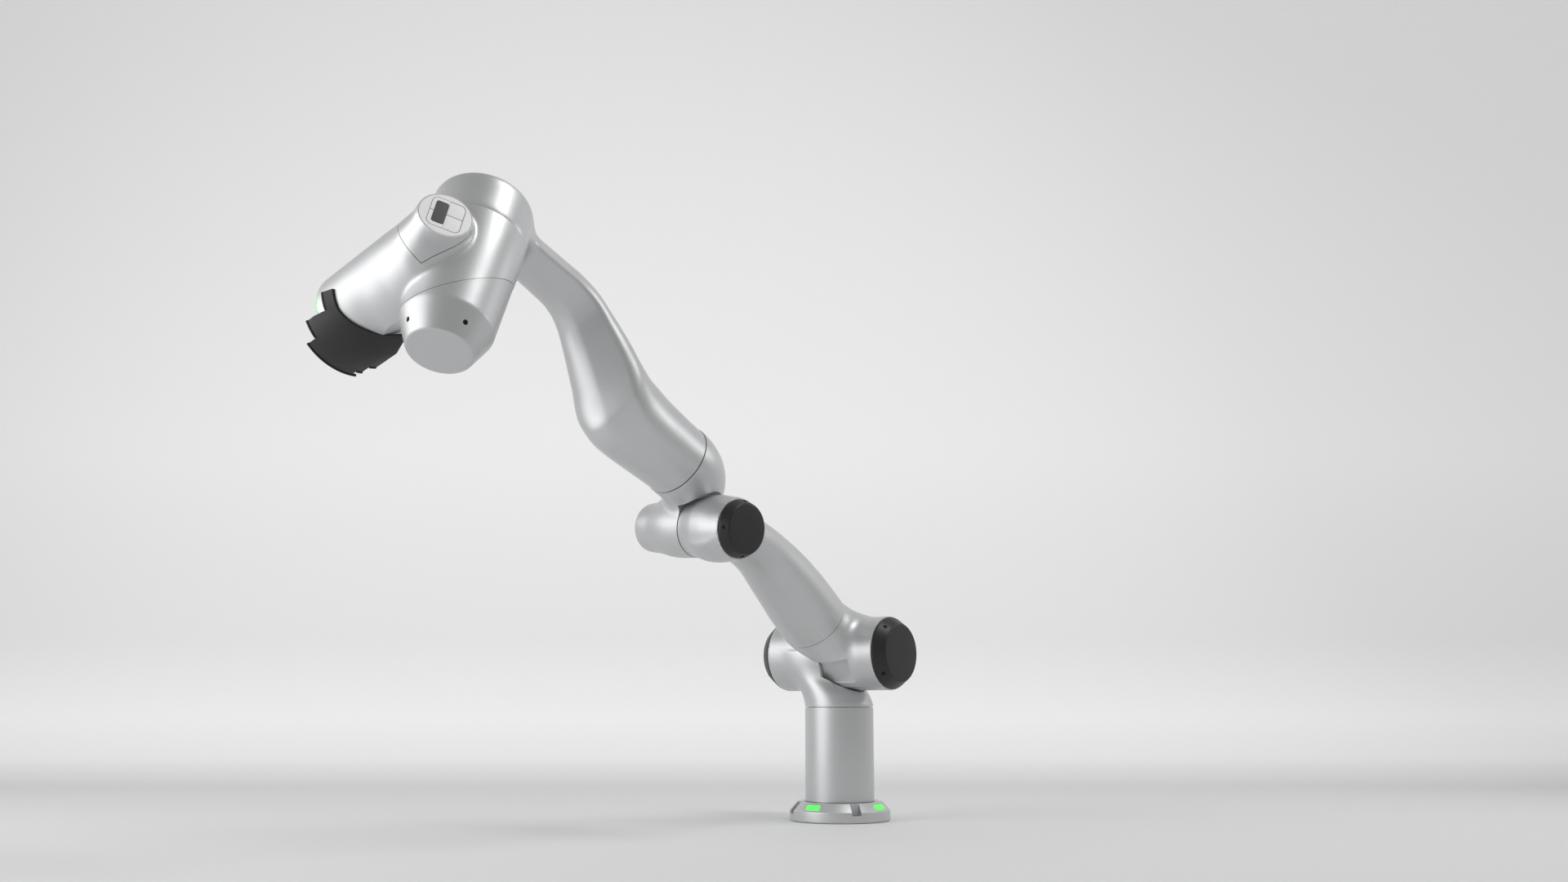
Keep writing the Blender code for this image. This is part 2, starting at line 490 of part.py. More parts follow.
def make_elbow(model):
    seam = REACH_START + (FOREARM_SEAM - SEAM / 2) * REACH
    start = ELBOW - 0.040 * ELBOW_AXIS
    lift = (REACH_START - ELBOW).normalized()
    handles = (start, start + 0.070 * lift, seam - 0.055 * REACH, seam)
    sections = []
    for share in (0, 0.2, 0.4, 0.6, 0.8, 1):
        rest = 1 - share
        centre = (handles[0] * rest ** 3 + 3 * handles[1] * rest ** 2 * share
                  + 3 * handles[2] * rest * share ** 2 + handles[3] * share ** 3)
        normal = mixed(lift, REACH, smoothstep(share)).normalized()
        sections.append((centre, normal, ELBOW_AXIS, mixed(0.040, FOREARM_RADIUS, smoothstep(share)),
                         mixed(0.043, FOREARM_RADIUS, smoothstep(share))))
    casing = model.place("elbow_casing", loft("elbow_casing", sections), Matrix.Identity(4),
                         "elbow", "silver")
    fuse(model, casing, lathe("horn", ELBOW_HORN), ELBOW_FRAME)
    clear_side(model, casing, ELBOW_FRAME, ELBOW_RADIUS + 0.004, 1)
    bore_out(model, casing, ELBOW_FRAME, ELBOW_HORN_BORE, -ELBOW_HORN_DEPTH, 0.03)
    bore_out(model, casing, ELBOW_FRAME, ELBOW_BORE, -0.008, 0.03)
    bore_out(model, casing, FOREARM_FRAME, FOREARM_BORE, FOREARM_SEAM - 0.008, FOREARM_SEAM + 0.05)
    output_ring(model, 4, ELBOW_BORE, ELBOW_FRAME, 0, "elbow")


# ---- forearm and wrist ----
def make_forearm(model):
    start = FOREARM_SEAM + SEAM / 2
    rise = -(FOREARM_LIFT + FOREARM_RISE) * WRIST_AXIS
    sections = []
    for share, lift, height, width in FOREARM_SECTIONS:
        along = start + (FOREARM_LENGTH - 0.010 - start) * share
        sections.append((REACH_START + along * REACH + lift * rise, REACH, WRIST_AXIS, height, width))
    casing = model.place("forearm_casing", loft("forearm_casing", sections), Matrix.Identity(4),
                         "forearm", "silver")
    fuse(model, casing, lathe("crown", WRIST_CROWN), WRIST_FRAME)
    clear_side(model, casing, WRIST_FRAME, WRIST_TOP_RADIUS + 0.006, 1, 0.25)
    bore_out(model, casing, WRIST_FRAME, WRIST_BORE, -0.16, 0.03)
    bore_out(model, casing, FOREARM_FRAME, FOREARM_BORE, 0.03, FOREARM_SEAM + 0.008)
    bore_out(model, casing, FOREARM_FRAME, MOTOR_RADIUS, FOREARM_SEAM, FOREARM_SEAM + MOTOR_DEPTH)
    hollow(model, casing, sections[1:9])
    output_ring(model, 5, FOREARM_BORE, FOREARM_FRAME, FOREARM_SEAM, "forearm")
    drive(model, 5, MOTOR_RADIUS, FOREARM_FRAME, FOREARM_SEAM + 0.0085, FOREARM_SEAM + 0.082, "forearm")
    drive(model, 6, WRIST_BORE, WRIST_FRAME, -0.062, -0.0075, "forearm")
    model.place("forearm_end_cap", lathe("forearm_end_cap", [
        (WRIST_BORE - FIT, -0.064), (WRIST_BORE - FIT, -0.075), (WRIST_BORE - 0.010, -0.079)]),
        WRIST_FRAME, "forearm", "silver")


def cover_plane(offset):
    """The slanting plane between the wrist casing and its end cover, moved along its normal."""
    normal = turned_about(WRIST_AXIS, TUBE, COVER_TILT)
    normal = normal if normal.dot(TUBE_SIDE) < 0 else turned_about(WRIST_AXIS, TUBE, -COVER_TILT)
    return frame(WRIST + COVER_AT * WRIST_AXIS + offset * normal, normal, TUBE)


def pod_plane(offset):
    """The slanting plane between the tube and its panel cap, moved along its normal."""
    normal = turned_about(TUBE, TUBE_SIDE, POD_TILT)
    return frame(TUBE_MIDDLE + POD_AT * TUBE + offset * normal, normal, TUBE_SIDE)


def tube_skin(name):
    """The whole tube and pod, bending from the tube's axis to the panel's."""
    shift = PANEL_SIDE * TUBE_SIDE - PANEL_RISE * WRIST_AXIS
    sections = [(TUBE_MIDDLE + along * TUBE + share * shift, mixed(TUBE, PANEL_NORMAL, share).normalized(),
                 TUBE_SIDE, radius, radius) for along, share, radius in TUBE_SECTIONS]
    return loft(name, sections + [(PANEL, PANEL_NORMAL, TUBE_SIDE, PANEL_RADIUS, PANEL_RADIUS)])


def wrist_body(spare=0.0):
    return [(WRIST_TOP_RADIUS + spare, SEAM / 2 - spare), (WRIST_RADIUS + spare, WRIST_LENGTH),
            (WRIST_DISC_RADIUS + spare, WRIST_LENGTH + WRIST_CONE + spare)]


def arc_shell(name, profile, start, end, steps):
    """A closed profile of (radius, height) swept part of the way round z, with flat ends."""
    points, faces = [], []
    count = len(profile)
    for step in range(steps + 1):
        angle = math.radians(mixed(start, end, step / steps))
        points += [(radius * math.cos(angle), radius * math.sin(angle), height) for radius, height in profile]
    for step in range(steps):
        low, high = step * count, (step + 1) * count
        faces += [(low + i, low + (i + 1) % count, high + (i + 1) % count, high + i) for i in range(count)]
    faces += [tuple(range(count)), tuple(range(steps * count, (steps + 1) * count))]
    return closed_mesh(name, points, faces)


def make_wrist_shells(model):
    casing = model.place("wrist_casing", lathe("wrist_casing", wrist_body()), WRIST_FRAME, "wrist", "silver")
    beyond = box("beyond", (-0.3, -0.3, 0), (0.3, 0.3, 0.4))
    combine(casing, model.place("casing_end_tool", beyond, cover_plane(-FIT)), "DIFFERENCE")
    tube = model.place("tube_tool", tube_skin("tube"), Matrix.Identity(4))
    combine(tube, model.place("tube_pod_tool", beyond.copy(), pod_plane(-FIT / 2)), "DIFFERENCE")
    combine(casing, tube, "UNION")
    bore_out(model, casing, WRIST_FRAME, WRIST_CABLE_BORE, -0.02, 0.30)
    bore_out(model, casing, WRIST_FRAME, WRIST_BORE, -0.02, 0.008)
    bore_out(model, casing, TUBE_FRAME, TUBE_BORE, -0.25, -0.02)
    cover = model.place("wrist_end_cover", lathe("wrist_end_cover", wrist_body()), WRIST_FRAME, "wrist", "silver")
    above = box("above", (-0.3, -0.3, -0.4), (0.3, 0.3, 0))
    combine(cover, model.place("cover_above_tool", above, cover_plane(FIT)), "DIFFERENCE")
    room = lathe("tube_room", [(TUBE_RADIUS + FIT, -0.12), (TUBE_RADIUS + FIT, 0.12)])
    combine(cover, model.place("cover_tube_tool", room, TUBE_FRAME), "DIFFERENCE")
    bore_out(model, cover, WRIST_FRAME, WRIST_CABLE_BORE, 0, WRIST_LENGTH - 0.004)
    cap_screws(model, cover, "wrist_cover_screw", 4, COVER_SCREW_AZIMUTH, WRIST_RADIUS, WRIST_DISC_RADIUS,
               WRIST_LENGTH, WRIST_CONE, WRIST_FRAME, "wrist", 1)
    output_ring(model, 6, WRIST_BORE, WRIST_FRAME, 0, "wrist")
    drive(model, 7, TUBE_BORE, TUBE_FRAME, -TUBE_FACE + 0.011, -0.085, "wrist")


def make_tube_end(model):
    """The light ring, the tool flange and the black guard round the tube's far end."""
    model.place("wrist_light_ring", lathe("wrist_light_ring", tube_profile(
        0.045, TUBE_RADIUS - 0.0015, -TUBE_END, -TUBE_FACE - FIT), ring=True), TUBE_FRAME, "wrist", "light")
    inside, face = 0.009 - TUBE_FACE, -TUBE_END - TOOL_THICKNESS
    flange = model.place("tool_flange", lathe("tool_flange", tube_profile(0.010, TOOL_RADIUS, face, inside),
                                              ring=True), TUBE_FRAME, "tool", "steel")
    hole = lathe("tool_hole", [(0.003, face - 0.01), (0.003, face + 0.008)], SMALL_ROUND)
    for i in range(4):
        spin = Matrix.Rotation(math.pi / 4 + math.pi / 2 * i, 4, "Z")
        place = TUBE_FRAME @ spin @ Matrix.Translation((TOOL_BOLT_CIRCLE, 0, 0))
        combine(flange, model.place(f"tool_hole_{i}", hole, place), "DIFFERENCE")
    dowel_place = TUBE_FRAME @ Matrix.Translation((0, TOOL_BOLT_CIRCLE, 0))
    dowel_hole = lathe("dowel_hole", [(0.003, face - 0.01), (0.003, face + 0.006)], SMALL_ROUND)
    combine(flange, model.place("dowel_hole_tool", dowel_hole, dowel_place), "DIFFERENCE")
    model.place("tool_dowel", lathe("tool_dowel", [(0.0027, face - 0.003), (0.0027, face + 0.0055)], SMALL_ROUND),
                dowel_place, "tool", "steel")
    inner = TUBE_RADIUS + FIT
    guard = model.place("wrist_guard", arc_shell("wrist_guard", [
        (inner, -0.135), (inner, -GUARD_END), (GUARD_RADIUS, -GUARD_END), (GUARD_RADIUS, -GUARD_END + 0.030),
        (inner + 0.002, -0.135)], *GUARD_ARC, 16), TUBE_FRAME, "wrist", "black")
    for i, (start, end, stop) in enumerate(GUARD_STEPS):
        step = arc_shell("step", tube_profile(0.05, 0.1, -0.25, -stop), start - 1, end, 4)
        combine(guard, model.place(f"guard_step_{i}", step, TUBE_FRAME), "DIFFERENCE")


def make_panel(model):
    """The pod that ends the tube, the white panel on it and the panel's three keys."""
    pod = model.place("wrist_pod_casing", tube_skin("wrist_pod_casing"), Matrix.Identity(4), "wrist", "silver")
    before = box("before", (-0.3, -0.3, -0.4), (0.3, 0.3, 0))
    combine(pod, model.place("pod_before_tool", before, pod_plane(FIT / 2)), "DIFFERENCE")
    combine(pod, model.place("pod_wrist_tool", lathe("wrist_room", wrist_body(FIT)), WRIST_FRAME), "DIFFERENCE")
    recess = lathe("recess", [(PANEL_RADIUS - PANEL_RIM + FIT, -PANEL_THICKNESS - FIT),
                              (PANEL_RADIUS - PANEL_RIM + FIT, 0.01)])
    combine(pod, model.place("panel_recess_tool", recess, PANEL_FRAME), "DIFFERENCE")
    panel = model.place("wrist_panel", lathe("wrist_panel", [
        (PANEL_RADIUS - PANEL_RIM, -PANEL_THICKNESS), (PANEL_RADIUS - PANEL_RIM, 0.0002)]),
        PANEL_FRAME, "wrist", "white")
    gap = FIT / 2
    low_x, low_y, high_x, high_y = KEYS
    outlines = {
        "key_grip": rounded_outline(*GRIP_KEY, [0.003] * 4),
        "key_upper": rounded_outline(low_x, KEYS_SPLIT + gap, high_x, high_y, [0.0005, 0.0005, 0.008, 0.002]),
        "key_lower": rounded_outline(low_x, low_y, high_x, KEYS_SPLIT - gap, [0.002, 0.008, 0.0005, 0.0005]),
    }
    wells = (rounded_outline(*grown(GRIP_KEY, FIT), [0.0034] * 4),
             rounded_outline(*grown(KEYS, FIT), [0.0024, 0.0084, 0.0084, 0.0024]))
    for i, well in enumerate(wells):
        pocket = prism("key_well", well, -KEY_DEPTH - KEY_TRAVEL - FIT, 0.01)
        for piece in (pod, panel):
            tool = model.place(f"{piece.name}_well_tool_{i}", pocket.copy(), PANEL_FRAME)
            combine(piece, tool, "DIFFERENCE")
    for name, outline in outlines.items():
        grip = name == "key_grip"
        mesh = prism(name, outline, -KEY_DEPTH, KEY_HEIGHT if grip else KEY_HEIGHT / 4)
        model.place("panel_" + name, mesh, PANEL_FRAME, name, "grey" if grip else "white")


def main():
    for old in list(bpy.data.objects):
        bpy.data.objects.remove(old, do_unlink=True)
    model = Model()
    make_base(model)
    make_shoulder(model)
    make_swing(model)
    make_upper_arm(model)
    make_elbow(model)
    make_forearm(model)
    make_wrist_shells(model)
    make_tube_end(model)
    make_panel(model)


main()
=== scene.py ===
import json
import math

import bmesh
import bpy
import numpy as np
from mathutils import Matrix, Vector


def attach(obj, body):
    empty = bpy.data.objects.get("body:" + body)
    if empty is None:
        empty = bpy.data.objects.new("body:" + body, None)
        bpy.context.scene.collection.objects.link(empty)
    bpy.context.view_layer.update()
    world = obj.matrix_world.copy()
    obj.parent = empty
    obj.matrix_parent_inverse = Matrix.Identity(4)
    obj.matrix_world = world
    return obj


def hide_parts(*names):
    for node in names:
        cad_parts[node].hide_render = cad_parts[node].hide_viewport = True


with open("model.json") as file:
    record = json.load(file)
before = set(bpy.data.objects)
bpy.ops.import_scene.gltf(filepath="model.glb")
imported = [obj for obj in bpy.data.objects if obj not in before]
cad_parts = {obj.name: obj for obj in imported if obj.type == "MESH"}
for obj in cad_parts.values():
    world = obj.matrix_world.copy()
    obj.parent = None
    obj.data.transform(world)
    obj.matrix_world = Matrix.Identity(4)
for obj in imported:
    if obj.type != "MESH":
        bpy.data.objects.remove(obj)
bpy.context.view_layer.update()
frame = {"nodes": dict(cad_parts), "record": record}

# ---- axes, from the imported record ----
JOINTS = {joint["name"]: joint for joint in frame["record"]["behaviour"]["joints"]}


def joint_axis(name):
    return Vector(JOINTS[name]["axis"]).normalized()


def joint_point(name):
    return Vector(JOINTS[name]["pos_m"])


Y, Z = Vector((0, 1, 0)), Vector((0, 0, 1))
SHOULDER, ARM = joint_point("joint_2_swing"), joint_axis("joint_3_turn")
ELBOW, ELBOW_AXIS = joint_point("joint_4_fold"), joint_axis("joint_4_fold")
REACH_START, REACH = joint_point("joint_5_turn"), joint_axis("joint_5_turn")
WRIST, WRIST_AXIS = joint_point("joint_6_fold"), joint_axis("joint_6_fold")
TUBE_MIDDLE, TUBE = joint_point("joint_7_turn"), joint_axis("joint_7_turn")
TUBE_SIDE = WRIST_AXIS.cross(TUBE)
PANEL_NORMAL = -joint_axis("key_grip_press")

# ---- sizes in metres, tilts and turns in degrees ----
SEAM, FIT = 0.0012, 0.0004
FLANGE_RADIUS, FLANGE_EDGE = 0.088, 0.0175
FLANGE_TOP_RADIUS, FLANGE_TOP = 0.075, 0.032
WINDOW_DEPTH, WINDOW_WIDTH, WINDOW_ROUND = 0.0053, 0.0135, 0.003   # half the glass, and its corners
WINDOW_TURN, SLOT_TURN = 1.7, 54.7   # of the first one of each, round from x
COLUMN_RADIUS, COLUMN_BORE, COLUMN_FOOT, COLUMN_TOP = 0.0605, 0.050, 0.0322, 0.1933
SOCKET_HEIGHT = 0.062
SHOULDER_RADIUS, SHOULDER_HALF, DRUM_CLEAR = 0.0635, 0.112, 0.003
NECK_LENGTH, NECK_RADIUS = 0.0923, 0.0590
CAP_BORE, CAP_SEAT = 0.052, 0.105
ELBOW_HALF, ELBOW_CLEAR, ELBOW_BORE = 0.0913, 0.0585, 0.039
FOREARM_SEAM, FOREARM_RADIUS, FOREARM_LIFT = 0.0962, 0.0596, 0.1268
FOREARM_LENGTH, UPPER_ARM_LENGTH, UPPER_ARM_ASIDE = 0.5623, 0.4105, 0.046
WRIST_TOP_RADIUS, WRIST_RADIUS, WRIST_LENGTH = 0.0724, 0.0638, 0.1648
WRIST_CONE, WRIST_DISC_RADIUS, WRIST_STEP = 0.0432, 0.0453, 0.0015
COVER_TILT, COVER_AT = 38.6, 0.1112
TUBE_RADIUS, TUBE_FACE, TUBE_END, TUBE_BORE = 0.0662, 0.194, 0.197, 0.044
LIGHT_RADIUS, GUARD_RADIUS, GUARD_END = 0.0592, 0.0835, -0.219
TOOL_RADIUS, TOOL_BOLT_CIRCLE, TOOL_THICKNESS = 0.0315, 0.025, 0.009
PANEL_SIDE, PANEL_OUT, PANEL_RISE, PANEL_RADIUS = 0.0341, 0.0583, 0.0149, 0.0368
PANEL_TOP, PANEL_BACK, PANEL_LIP, WELL_FLOOR = 0.0008, -0.002, 0.0018, -0.0044
KEY_FOOT, KEY_TOP = -0.003, 0.0008
POD_TILT, POD_AT, POD_LEDGE, POD_START = 23.6, 0.0014, 0.010, -0.050
RELIEF, RELIEF_GROWTH = math.radians(1.5), 1.015   # past the joint's limit, and the cutter's growth
PANEL = TUBE_MIDDLE + PANEL_SIDE * TUBE_SIDE + PANEL_OUT * TUBE - PANEL_RISE * WRIST_AXIS
GRID = 0.0026
SHARP = 35.0   # degrees, from which an edge is shown sharp


def place(origin, z_axis, x_hint):
    z = z_axis.normalized()
    x = (x_hint - x_hint.dot(z) * z).normalized()
    return Matrix.Translation(origin) @ Matrix((x, z.cross(x), z)).transposed().to_4x4()


BASE_PLACE = Matrix.Identity(4)
SHOULDER_PLACE = place(SHOULDER, Y, Z)
NECK_PLACE = place(SHOULDER, ARM, Y)
ELBOW_PLACE = place(ELBOW, ELBOW_AXIS, ARM)
FOREARM_PLACE = place(REACH_START, REACH, ELBOW_AXIS)
WRIST_PLACE = place(WRIST, WRIST_AXIS, TUBE_SIDE)
TUBE_PLACE = place(TUBE_MIDDLE, TUBE, TUBE_SIDE)
PANEL_PLACE = place(PANEL, PANEL_NORMAL, -TUBE_SIDE)


def spun(degrees):
    return Matrix.Rotation(math.radians(degrees), 4, "Z")


def turned_about(vector, axis, degrees):
    return Matrix.Rotation(math.radians(degrees), 3, axis) @ vector


def turned_round(centre, axis, angle, growth):
    """Turns about an axis through a centre, and grows from that centre."""
    return (Matrix.Translation(centre) @ Matrix.Rotation(angle, 4, axis) @ Matrix.Scale(growth, 4)
            @ Matrix.Translation(-centre))


def cover_place(offset):
    normal = turned_about(WRIST_AXIS, TUBE, COVER_TILT)
    return place(WRIST + COVER_AT * WRIST_AXIS + offset * normal, normal, TUBE)


def pod_place(offset):
    normal = turned_about(TUBE, TUBE_SIDE, POD_TILT)
    return place(TUBE_MIDDLE + POD_AT * TUBE + offset * normal, normal, TUBE_SIDE)


# ---- materials ----
def node(tree, kind, **values):
    made = tree.nodes.new(kind)
    for name, value in values.items():
        made.inputs[name.replace("_", " ")].default_value = value
    return made


def finish(name, colour, roughness, metallic=0.0, grain=900.0, bump=0.05, mottle=0.04, glow=0.0):
    """A finish with mottled colour and roughness and a fine grained surface."""
    vary = 0.06
    made = bpy.data.materials.new(name)
    made.use_nodes = True
    tree = made.node_tree
    shader = tree.nodes["Principled BSDF"]
    shader.inputs["Metallic"].default_value = metallic
    shader.inputs["Emission Strength"].default_value = glow
    shader.inputs["Emission Color"].default_value = (*colour, 1)
    where = tree.nodes.new("ShaderNodeTexCoord")
    broad = node(tree, "ShaderNodeTexNoise", Scale=14.0, Detail=4.0)
    fine = node(tree, "ShaderNodeTexNoise", Scale=grain, Detail=2.0)
    for noise in (broad, fine):
        tree.links.new(where.outputs["Object"], noise.inputs["Vector"])
    shades = tree.nodes.new("ShaderNodeMapRange")
    shades.inputs["To Min"].default_value = roughness - vary
    shades.inputs["To Max"].default_value = roughness + vary
    tree.links.new(broad.outputs["Fac"], shades.inputs["Value"])
    tree.links.new(shades.outputs["Result"], shader.inputs["Roughness"])
    mix = tree.nodes.new("ShaderNodeMix")
    mix.data_type = "RGBA"
    mix.inputs[6].default_value = tuple(channel * (1 - mottle) for channel in colour) + (1,)
    mix.inputs[7].default_value = tuple(min(channel * (1 + mottle), 1) for channel in colour) + (1,)
    tree.links.new(fine.outputs["Fac"], mix.inputs[0])
    tree.links.new(mix.outputs[2], shader.inputs["Base Color"])
    relief = node(tree, "ShaderNodeBump", Strength=bump, Distance=0.0004)
    tree.links.new(fine.outputs["Fac"], relief.inputs["Height"])
    tree.links.new(relief.outputs["Normal"], shader.inputs["Normal"])
    return made


SILVER = finish("satin_silver", (0.62, 0.625, 0.63), 0.42, metallic=0.80, grain=1400, bump=0.06, mottle=0.02)
COVER = finish("satin_cover", (0.60, 0.605, 0.61), 0.44, metallic=0.80, grain=1400, bump=0.06, mottle=0.02)
BLACK = finish("matt_black", (0.011, 0.011, 0.012), 0.40, grain=1800, bump=0.10)
GUARD = finish("moulded_black", (0.010, 0.010, 0.011), 0.42, grain=1200, bump=0.10)
# white plastic with painted light: its glow makes the panel disc and the white keys brighter, as if more
# light fell on them
GLOWING_WHITE = finish("white_panel_painted_glow", (0.90, 0.90, 0.90), 0.40, grain=900, bump=0.03, mottle=0.01, glow=0.12)
GREY = finish("grey_key", (0.105, 0.105, 0.11), 0.62, grain=2200, bump=0.25, mottle=0.08)
LINE = finish("panel_line", (0.12, 0.12, 0.12), 0.6)
# near-black screw heads: painted shade, so that each screw hole reads dark
SCREW_HOLE_SHADE = finish("screw_painted_shade", (0.05, 0.05, 0.052), 0.42, metallic=0.9)
STEEL = finish("bright_steel", (0.55, 0.55, 0.56), 0.28, metallic=1.0, grain=1600, bump=0.05)
INNER = finish("dark_anodised", (0.10, 0.10, 0.11), 0.45, metallic=0.8)
BOARD = finish("circuit_board", (0.03, 0.09, 0.05), 0.5)
LIGHT = finish("green_light", (0.09, 0.80, 0.11), 0.35, bump=0.02, mottle=0.03, glow=0.75)


# ---- mesh helpers ----
def mesh_of(name, points, faces, sharp=SHARP):
    mesh = bpy.data.meshes.new(name)
    mesh.from_pydata([tuple(point) for point in points], [], [tuple(int(i) for i in face) for face in faces])
    built = bmesh.new()
    built.from_mesh(mesh)
    bmesh.ops.recalc_face_normals(built, faces=built.faces)
    built.to_mesh(mesh)
    built.free()
    mesh.shade_smooth()
    mesh.set_sharp_from_angle(angle=math.radians(sharp))
    return mesh


def object_of(name, mesh, where=BASE_PLACE):
    """The mesh in the model's frame, its own placing worked into its points."""
    mesh.transform(where)
    made = bpy.data.objects.new(name, mesh)
    bpy.context.collection.objects.link(made)
    return made


def add(name, made, body, look, slot, *nodes):
    """A finished piece: its look, the body it moves with and the solids it stands for."""
    made.name = name
    made.data.materials.clear()
    made.data.materials.append(look)
    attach(made, body)
    if nodes:
        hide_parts(*nodes)


def arc(points, radius, steps=5):
    """Rounds each inner corner of an open outline of (r, z)."""
    rounded = [points[0]]
    for before, corner, after in zip(points, points[1:], points[2:]):
        a, c, b = (np.array(p, float) for p in (before, corner, after))
        to_a, to_b = a - c, b - c
        reach = min(radius, 0.45 * np.linalg.norm(to_a), 0.45 * np.linalg.norm(to_b))
        start, end = c + to_a / np.linalg.norm(to_a) * reach, c + to_b / np.linalg.norm(to_b) * reach
        for step in range(steps + 1):
            t = step / steps
            rounded.append(tuple((1 - t) ** 2 * start + 2 * t * (1 - t) * c + t * t * end))
    rounded.append(points[-1])
    return rounded


def lathe(name, profile, sides=192, ring=False):
    """A profile of (radius, height) turned round z. Flat ends close it, or its own start if it is a ring."""
    points, faces = [], []
    for radius, height in profile:
        for i in range(sides):
            angle = 2 * math.pi * i / sides
            points.append((radius * math.cos(angle), radius * math.sin(angle), height))
    bands = len(profile) if ring else len(profile) - 1
    for band in range(bands):
        low, high = band * sides, (band + 1) % len(profile) * sides
        faces += [(low + i, low + (i + 1) % sides, high + (i + 1) % sides, high + i) for i in range(sides)]
    if not ring:
        faces += [tuple(range(sides)), tuple(range(len(points) - sides, len(points)))]
    return mesh_of(name, points, faces)


def prism(name, outline, low, high, rim=0.0):
    """An outline drawn up from low to high, with its top edge rounded by rim."""
    levels = [(0.0, low)]
    if rim:
        levels += [(rim * (1 - math.cos(turn)), high - rim * (1 - math.sin(turn)))
                   for turn in (0, 0.4, 0.8, 1.2, 1.5708)]
    else:
        levels += [(0.0, high)]
    outline = np.array(outline)
    count = len(outline)
    ahead, behind = np.roll(outline, -1, 0), np.roll(outline, 1, 0)
    along = ahead - behind
    outward = np.stack([along[:, 1], -along[:, 0]], 1)
    outward /= np.linalg.norm(outward, axis=1, keepdims=True)
    points, faces = [], []
    for inset, height in levels:
        points += [(x, y, height) for x, y in outline - inset * outward]
    for level in range(len(levels) - 1):
        a, b = level * count, (level + 1) * count
        faces += [(a + i, a + (i + 1) % count, b + (i + 1) % count, b + i) for i in range(count)]
    faces += [tuple(range(count)), tuple(range(len(points) - count, len(points)))]
    return mesh_of(name, points, faces)


def rounded_outline(low_x, low_y, high_x, high_y, radii):
    """A rectangle with rounded corners, starting at its lowest x and y."""
    steps = 8
    corners = [(low_x, low_y, 1, 1), (high_x, low_y, -1, 1), (high_x, high_y, -1, -1),
               (low_x, high_y, 1, -1)]
    outline = []
    for corner, (x, y, inward_x, inward_y) in enumerate(corners):
        radius = radii[corner]
        for step in range(steps + 1):
            angle = math.pi + math.pi / 2 * (corner + step / steps)
            outline.append((x + inward_x * radius + radius * math.cos(angle),
                            y + inward_y * radius + radius * math.sin(angle)))
    return outline


def block(name, low, high):
    outline = [(low[0], low[1]), (high[0], low[1]), (high[0], high[1]), (low[0], high[1])]
    return prism(name, outline, low[2], high[2])


def cut(piece, tool_mesh, where, operation="DIFFERENCE"):
    """Works a tool into a piece and leaves plain mesh behind."""
    tool = object_of("tool", tool_mesh, where)
    step = piece.modifiers.new("cut", "BOOLEAN")
    step.operation, step.object, step.solver = operation, tool, "MANIFOLD"
    bpy.context.view_layer.update()
    done = bpy.data.meshes.new_from_object(piece.evaluated_get(bpy.context.evaluated_depsgraph_get()))
    piece.modifiers.clear()
    piece.data = done
    bpy.data.objects.remove(tool, do_unlink=True)
    done.shade_smooth()
    done.set_sharp_from_angle(angle=math.radians(SHARP))


# ---- smooth castings: fields of distance, skinned on a grid ----
def coordinates(points, where):
    turn = np.array(where.to_3x3())
    return (points - np.array(where.translation)) @ turn


def soft_min(a, b, blend):
    share = np.maximum(blend - np.abs(a - b), 0) / blend
    return np.minimum(a, b) - share * share * blend / 4


def soft_max(a, b, blend):
    return -soft_min(-a, -b, blend)


def through(xs, ys):
    """A smooth curve through the rows of a table that doesn't overshoot them."""
    xs, ys = np.array(xs, float), np.array(ys, float)
    slopes = np.diff(ys) / np.diff(xs)
    tangents = np.zeros(len(xs))
    product = slopes[1:] * slopes[:-1]
    tangents[1:-1] = np.where(product > 0, 2 * product / (slopes[1:] + slopes[:-1] + 1e-12), 0)
    tangents[0], tangents[-1] = slopes[0], slopes[-1]

    def at(x):
        x = np.clip(x, xs[0], xs[-1])
        i = np.clip(np.searchsorted(xs, x) - 1, 0, len(xs) - 2)
        width = xs[i + 1] - xs[i]
        t = (x - xs[i]) / width
        return ((1 + 2 * t) * (1 - t) ** 2 * ys[i] + t * (1 - t) ** 2 * width * tangents[i]
                + t * t * (3 - 2 * t) * ys[i + 1] + t * t * (t - 1) * width * tangents[i + 1])
    return at


def turned_field(where, profile, low, high, edge):
    """A turned body whose radius follows a profile of (height, radius) between two heights."""
    radius = through([row[0] for row in profile], [row[1] for row in profile])

    def field(points):
        local = coordinates(points, where)
        height = local[:, 2]
        side = np.hypot(local[:, 0], local[:, 1]) - radius(height)
        return soft_max(side, np.maximum(low - height, height - high), edge)
    return field


def swept_field(where, rows, low, high, edge, flats=()):
    """A body along z through rows of (z, centre x, centre y, half x, half y).

    A flat is planed on it at a share of its radius that follows rows of (z, share), with a crisp edge on one
    side of the flat and a soft one on the other.
    """
    table = np.array(rows, float).T
    curves = [through(table[0], column) for column in table[1:]]
    planed = [(direction, through(*zip(*shares)), blends) for direction, shares, blends in flats]

    def field(points):
        local = coordinates(points, where)
        along = local[:, 2]
        cx, cy, half_x, half_y = (curve(along) for curve in curves)
        x, y = (local[:, 0] - cx) / half_x, (local[:, 1] - cy) / half_y
        value = (np.hypot(x, y) - 1) * np.minimum(half_x, half_y)
        for direction, share, (crisp, soft) in planed:
            half = np.minimum(half_x, half_y)
            plane = x * half_x * direction[0] + y * half_y * direction[1] - share(along) * half
            across = np.clip((x * half_x * direction[1] - y * half_y * direction[0]) / half, 0, 1)
            value = soft_max(value, plane, crisp + (soft - crisp) * across)
        return soft_max(value, np.maximum(low - along, along - high), edge)
    return field


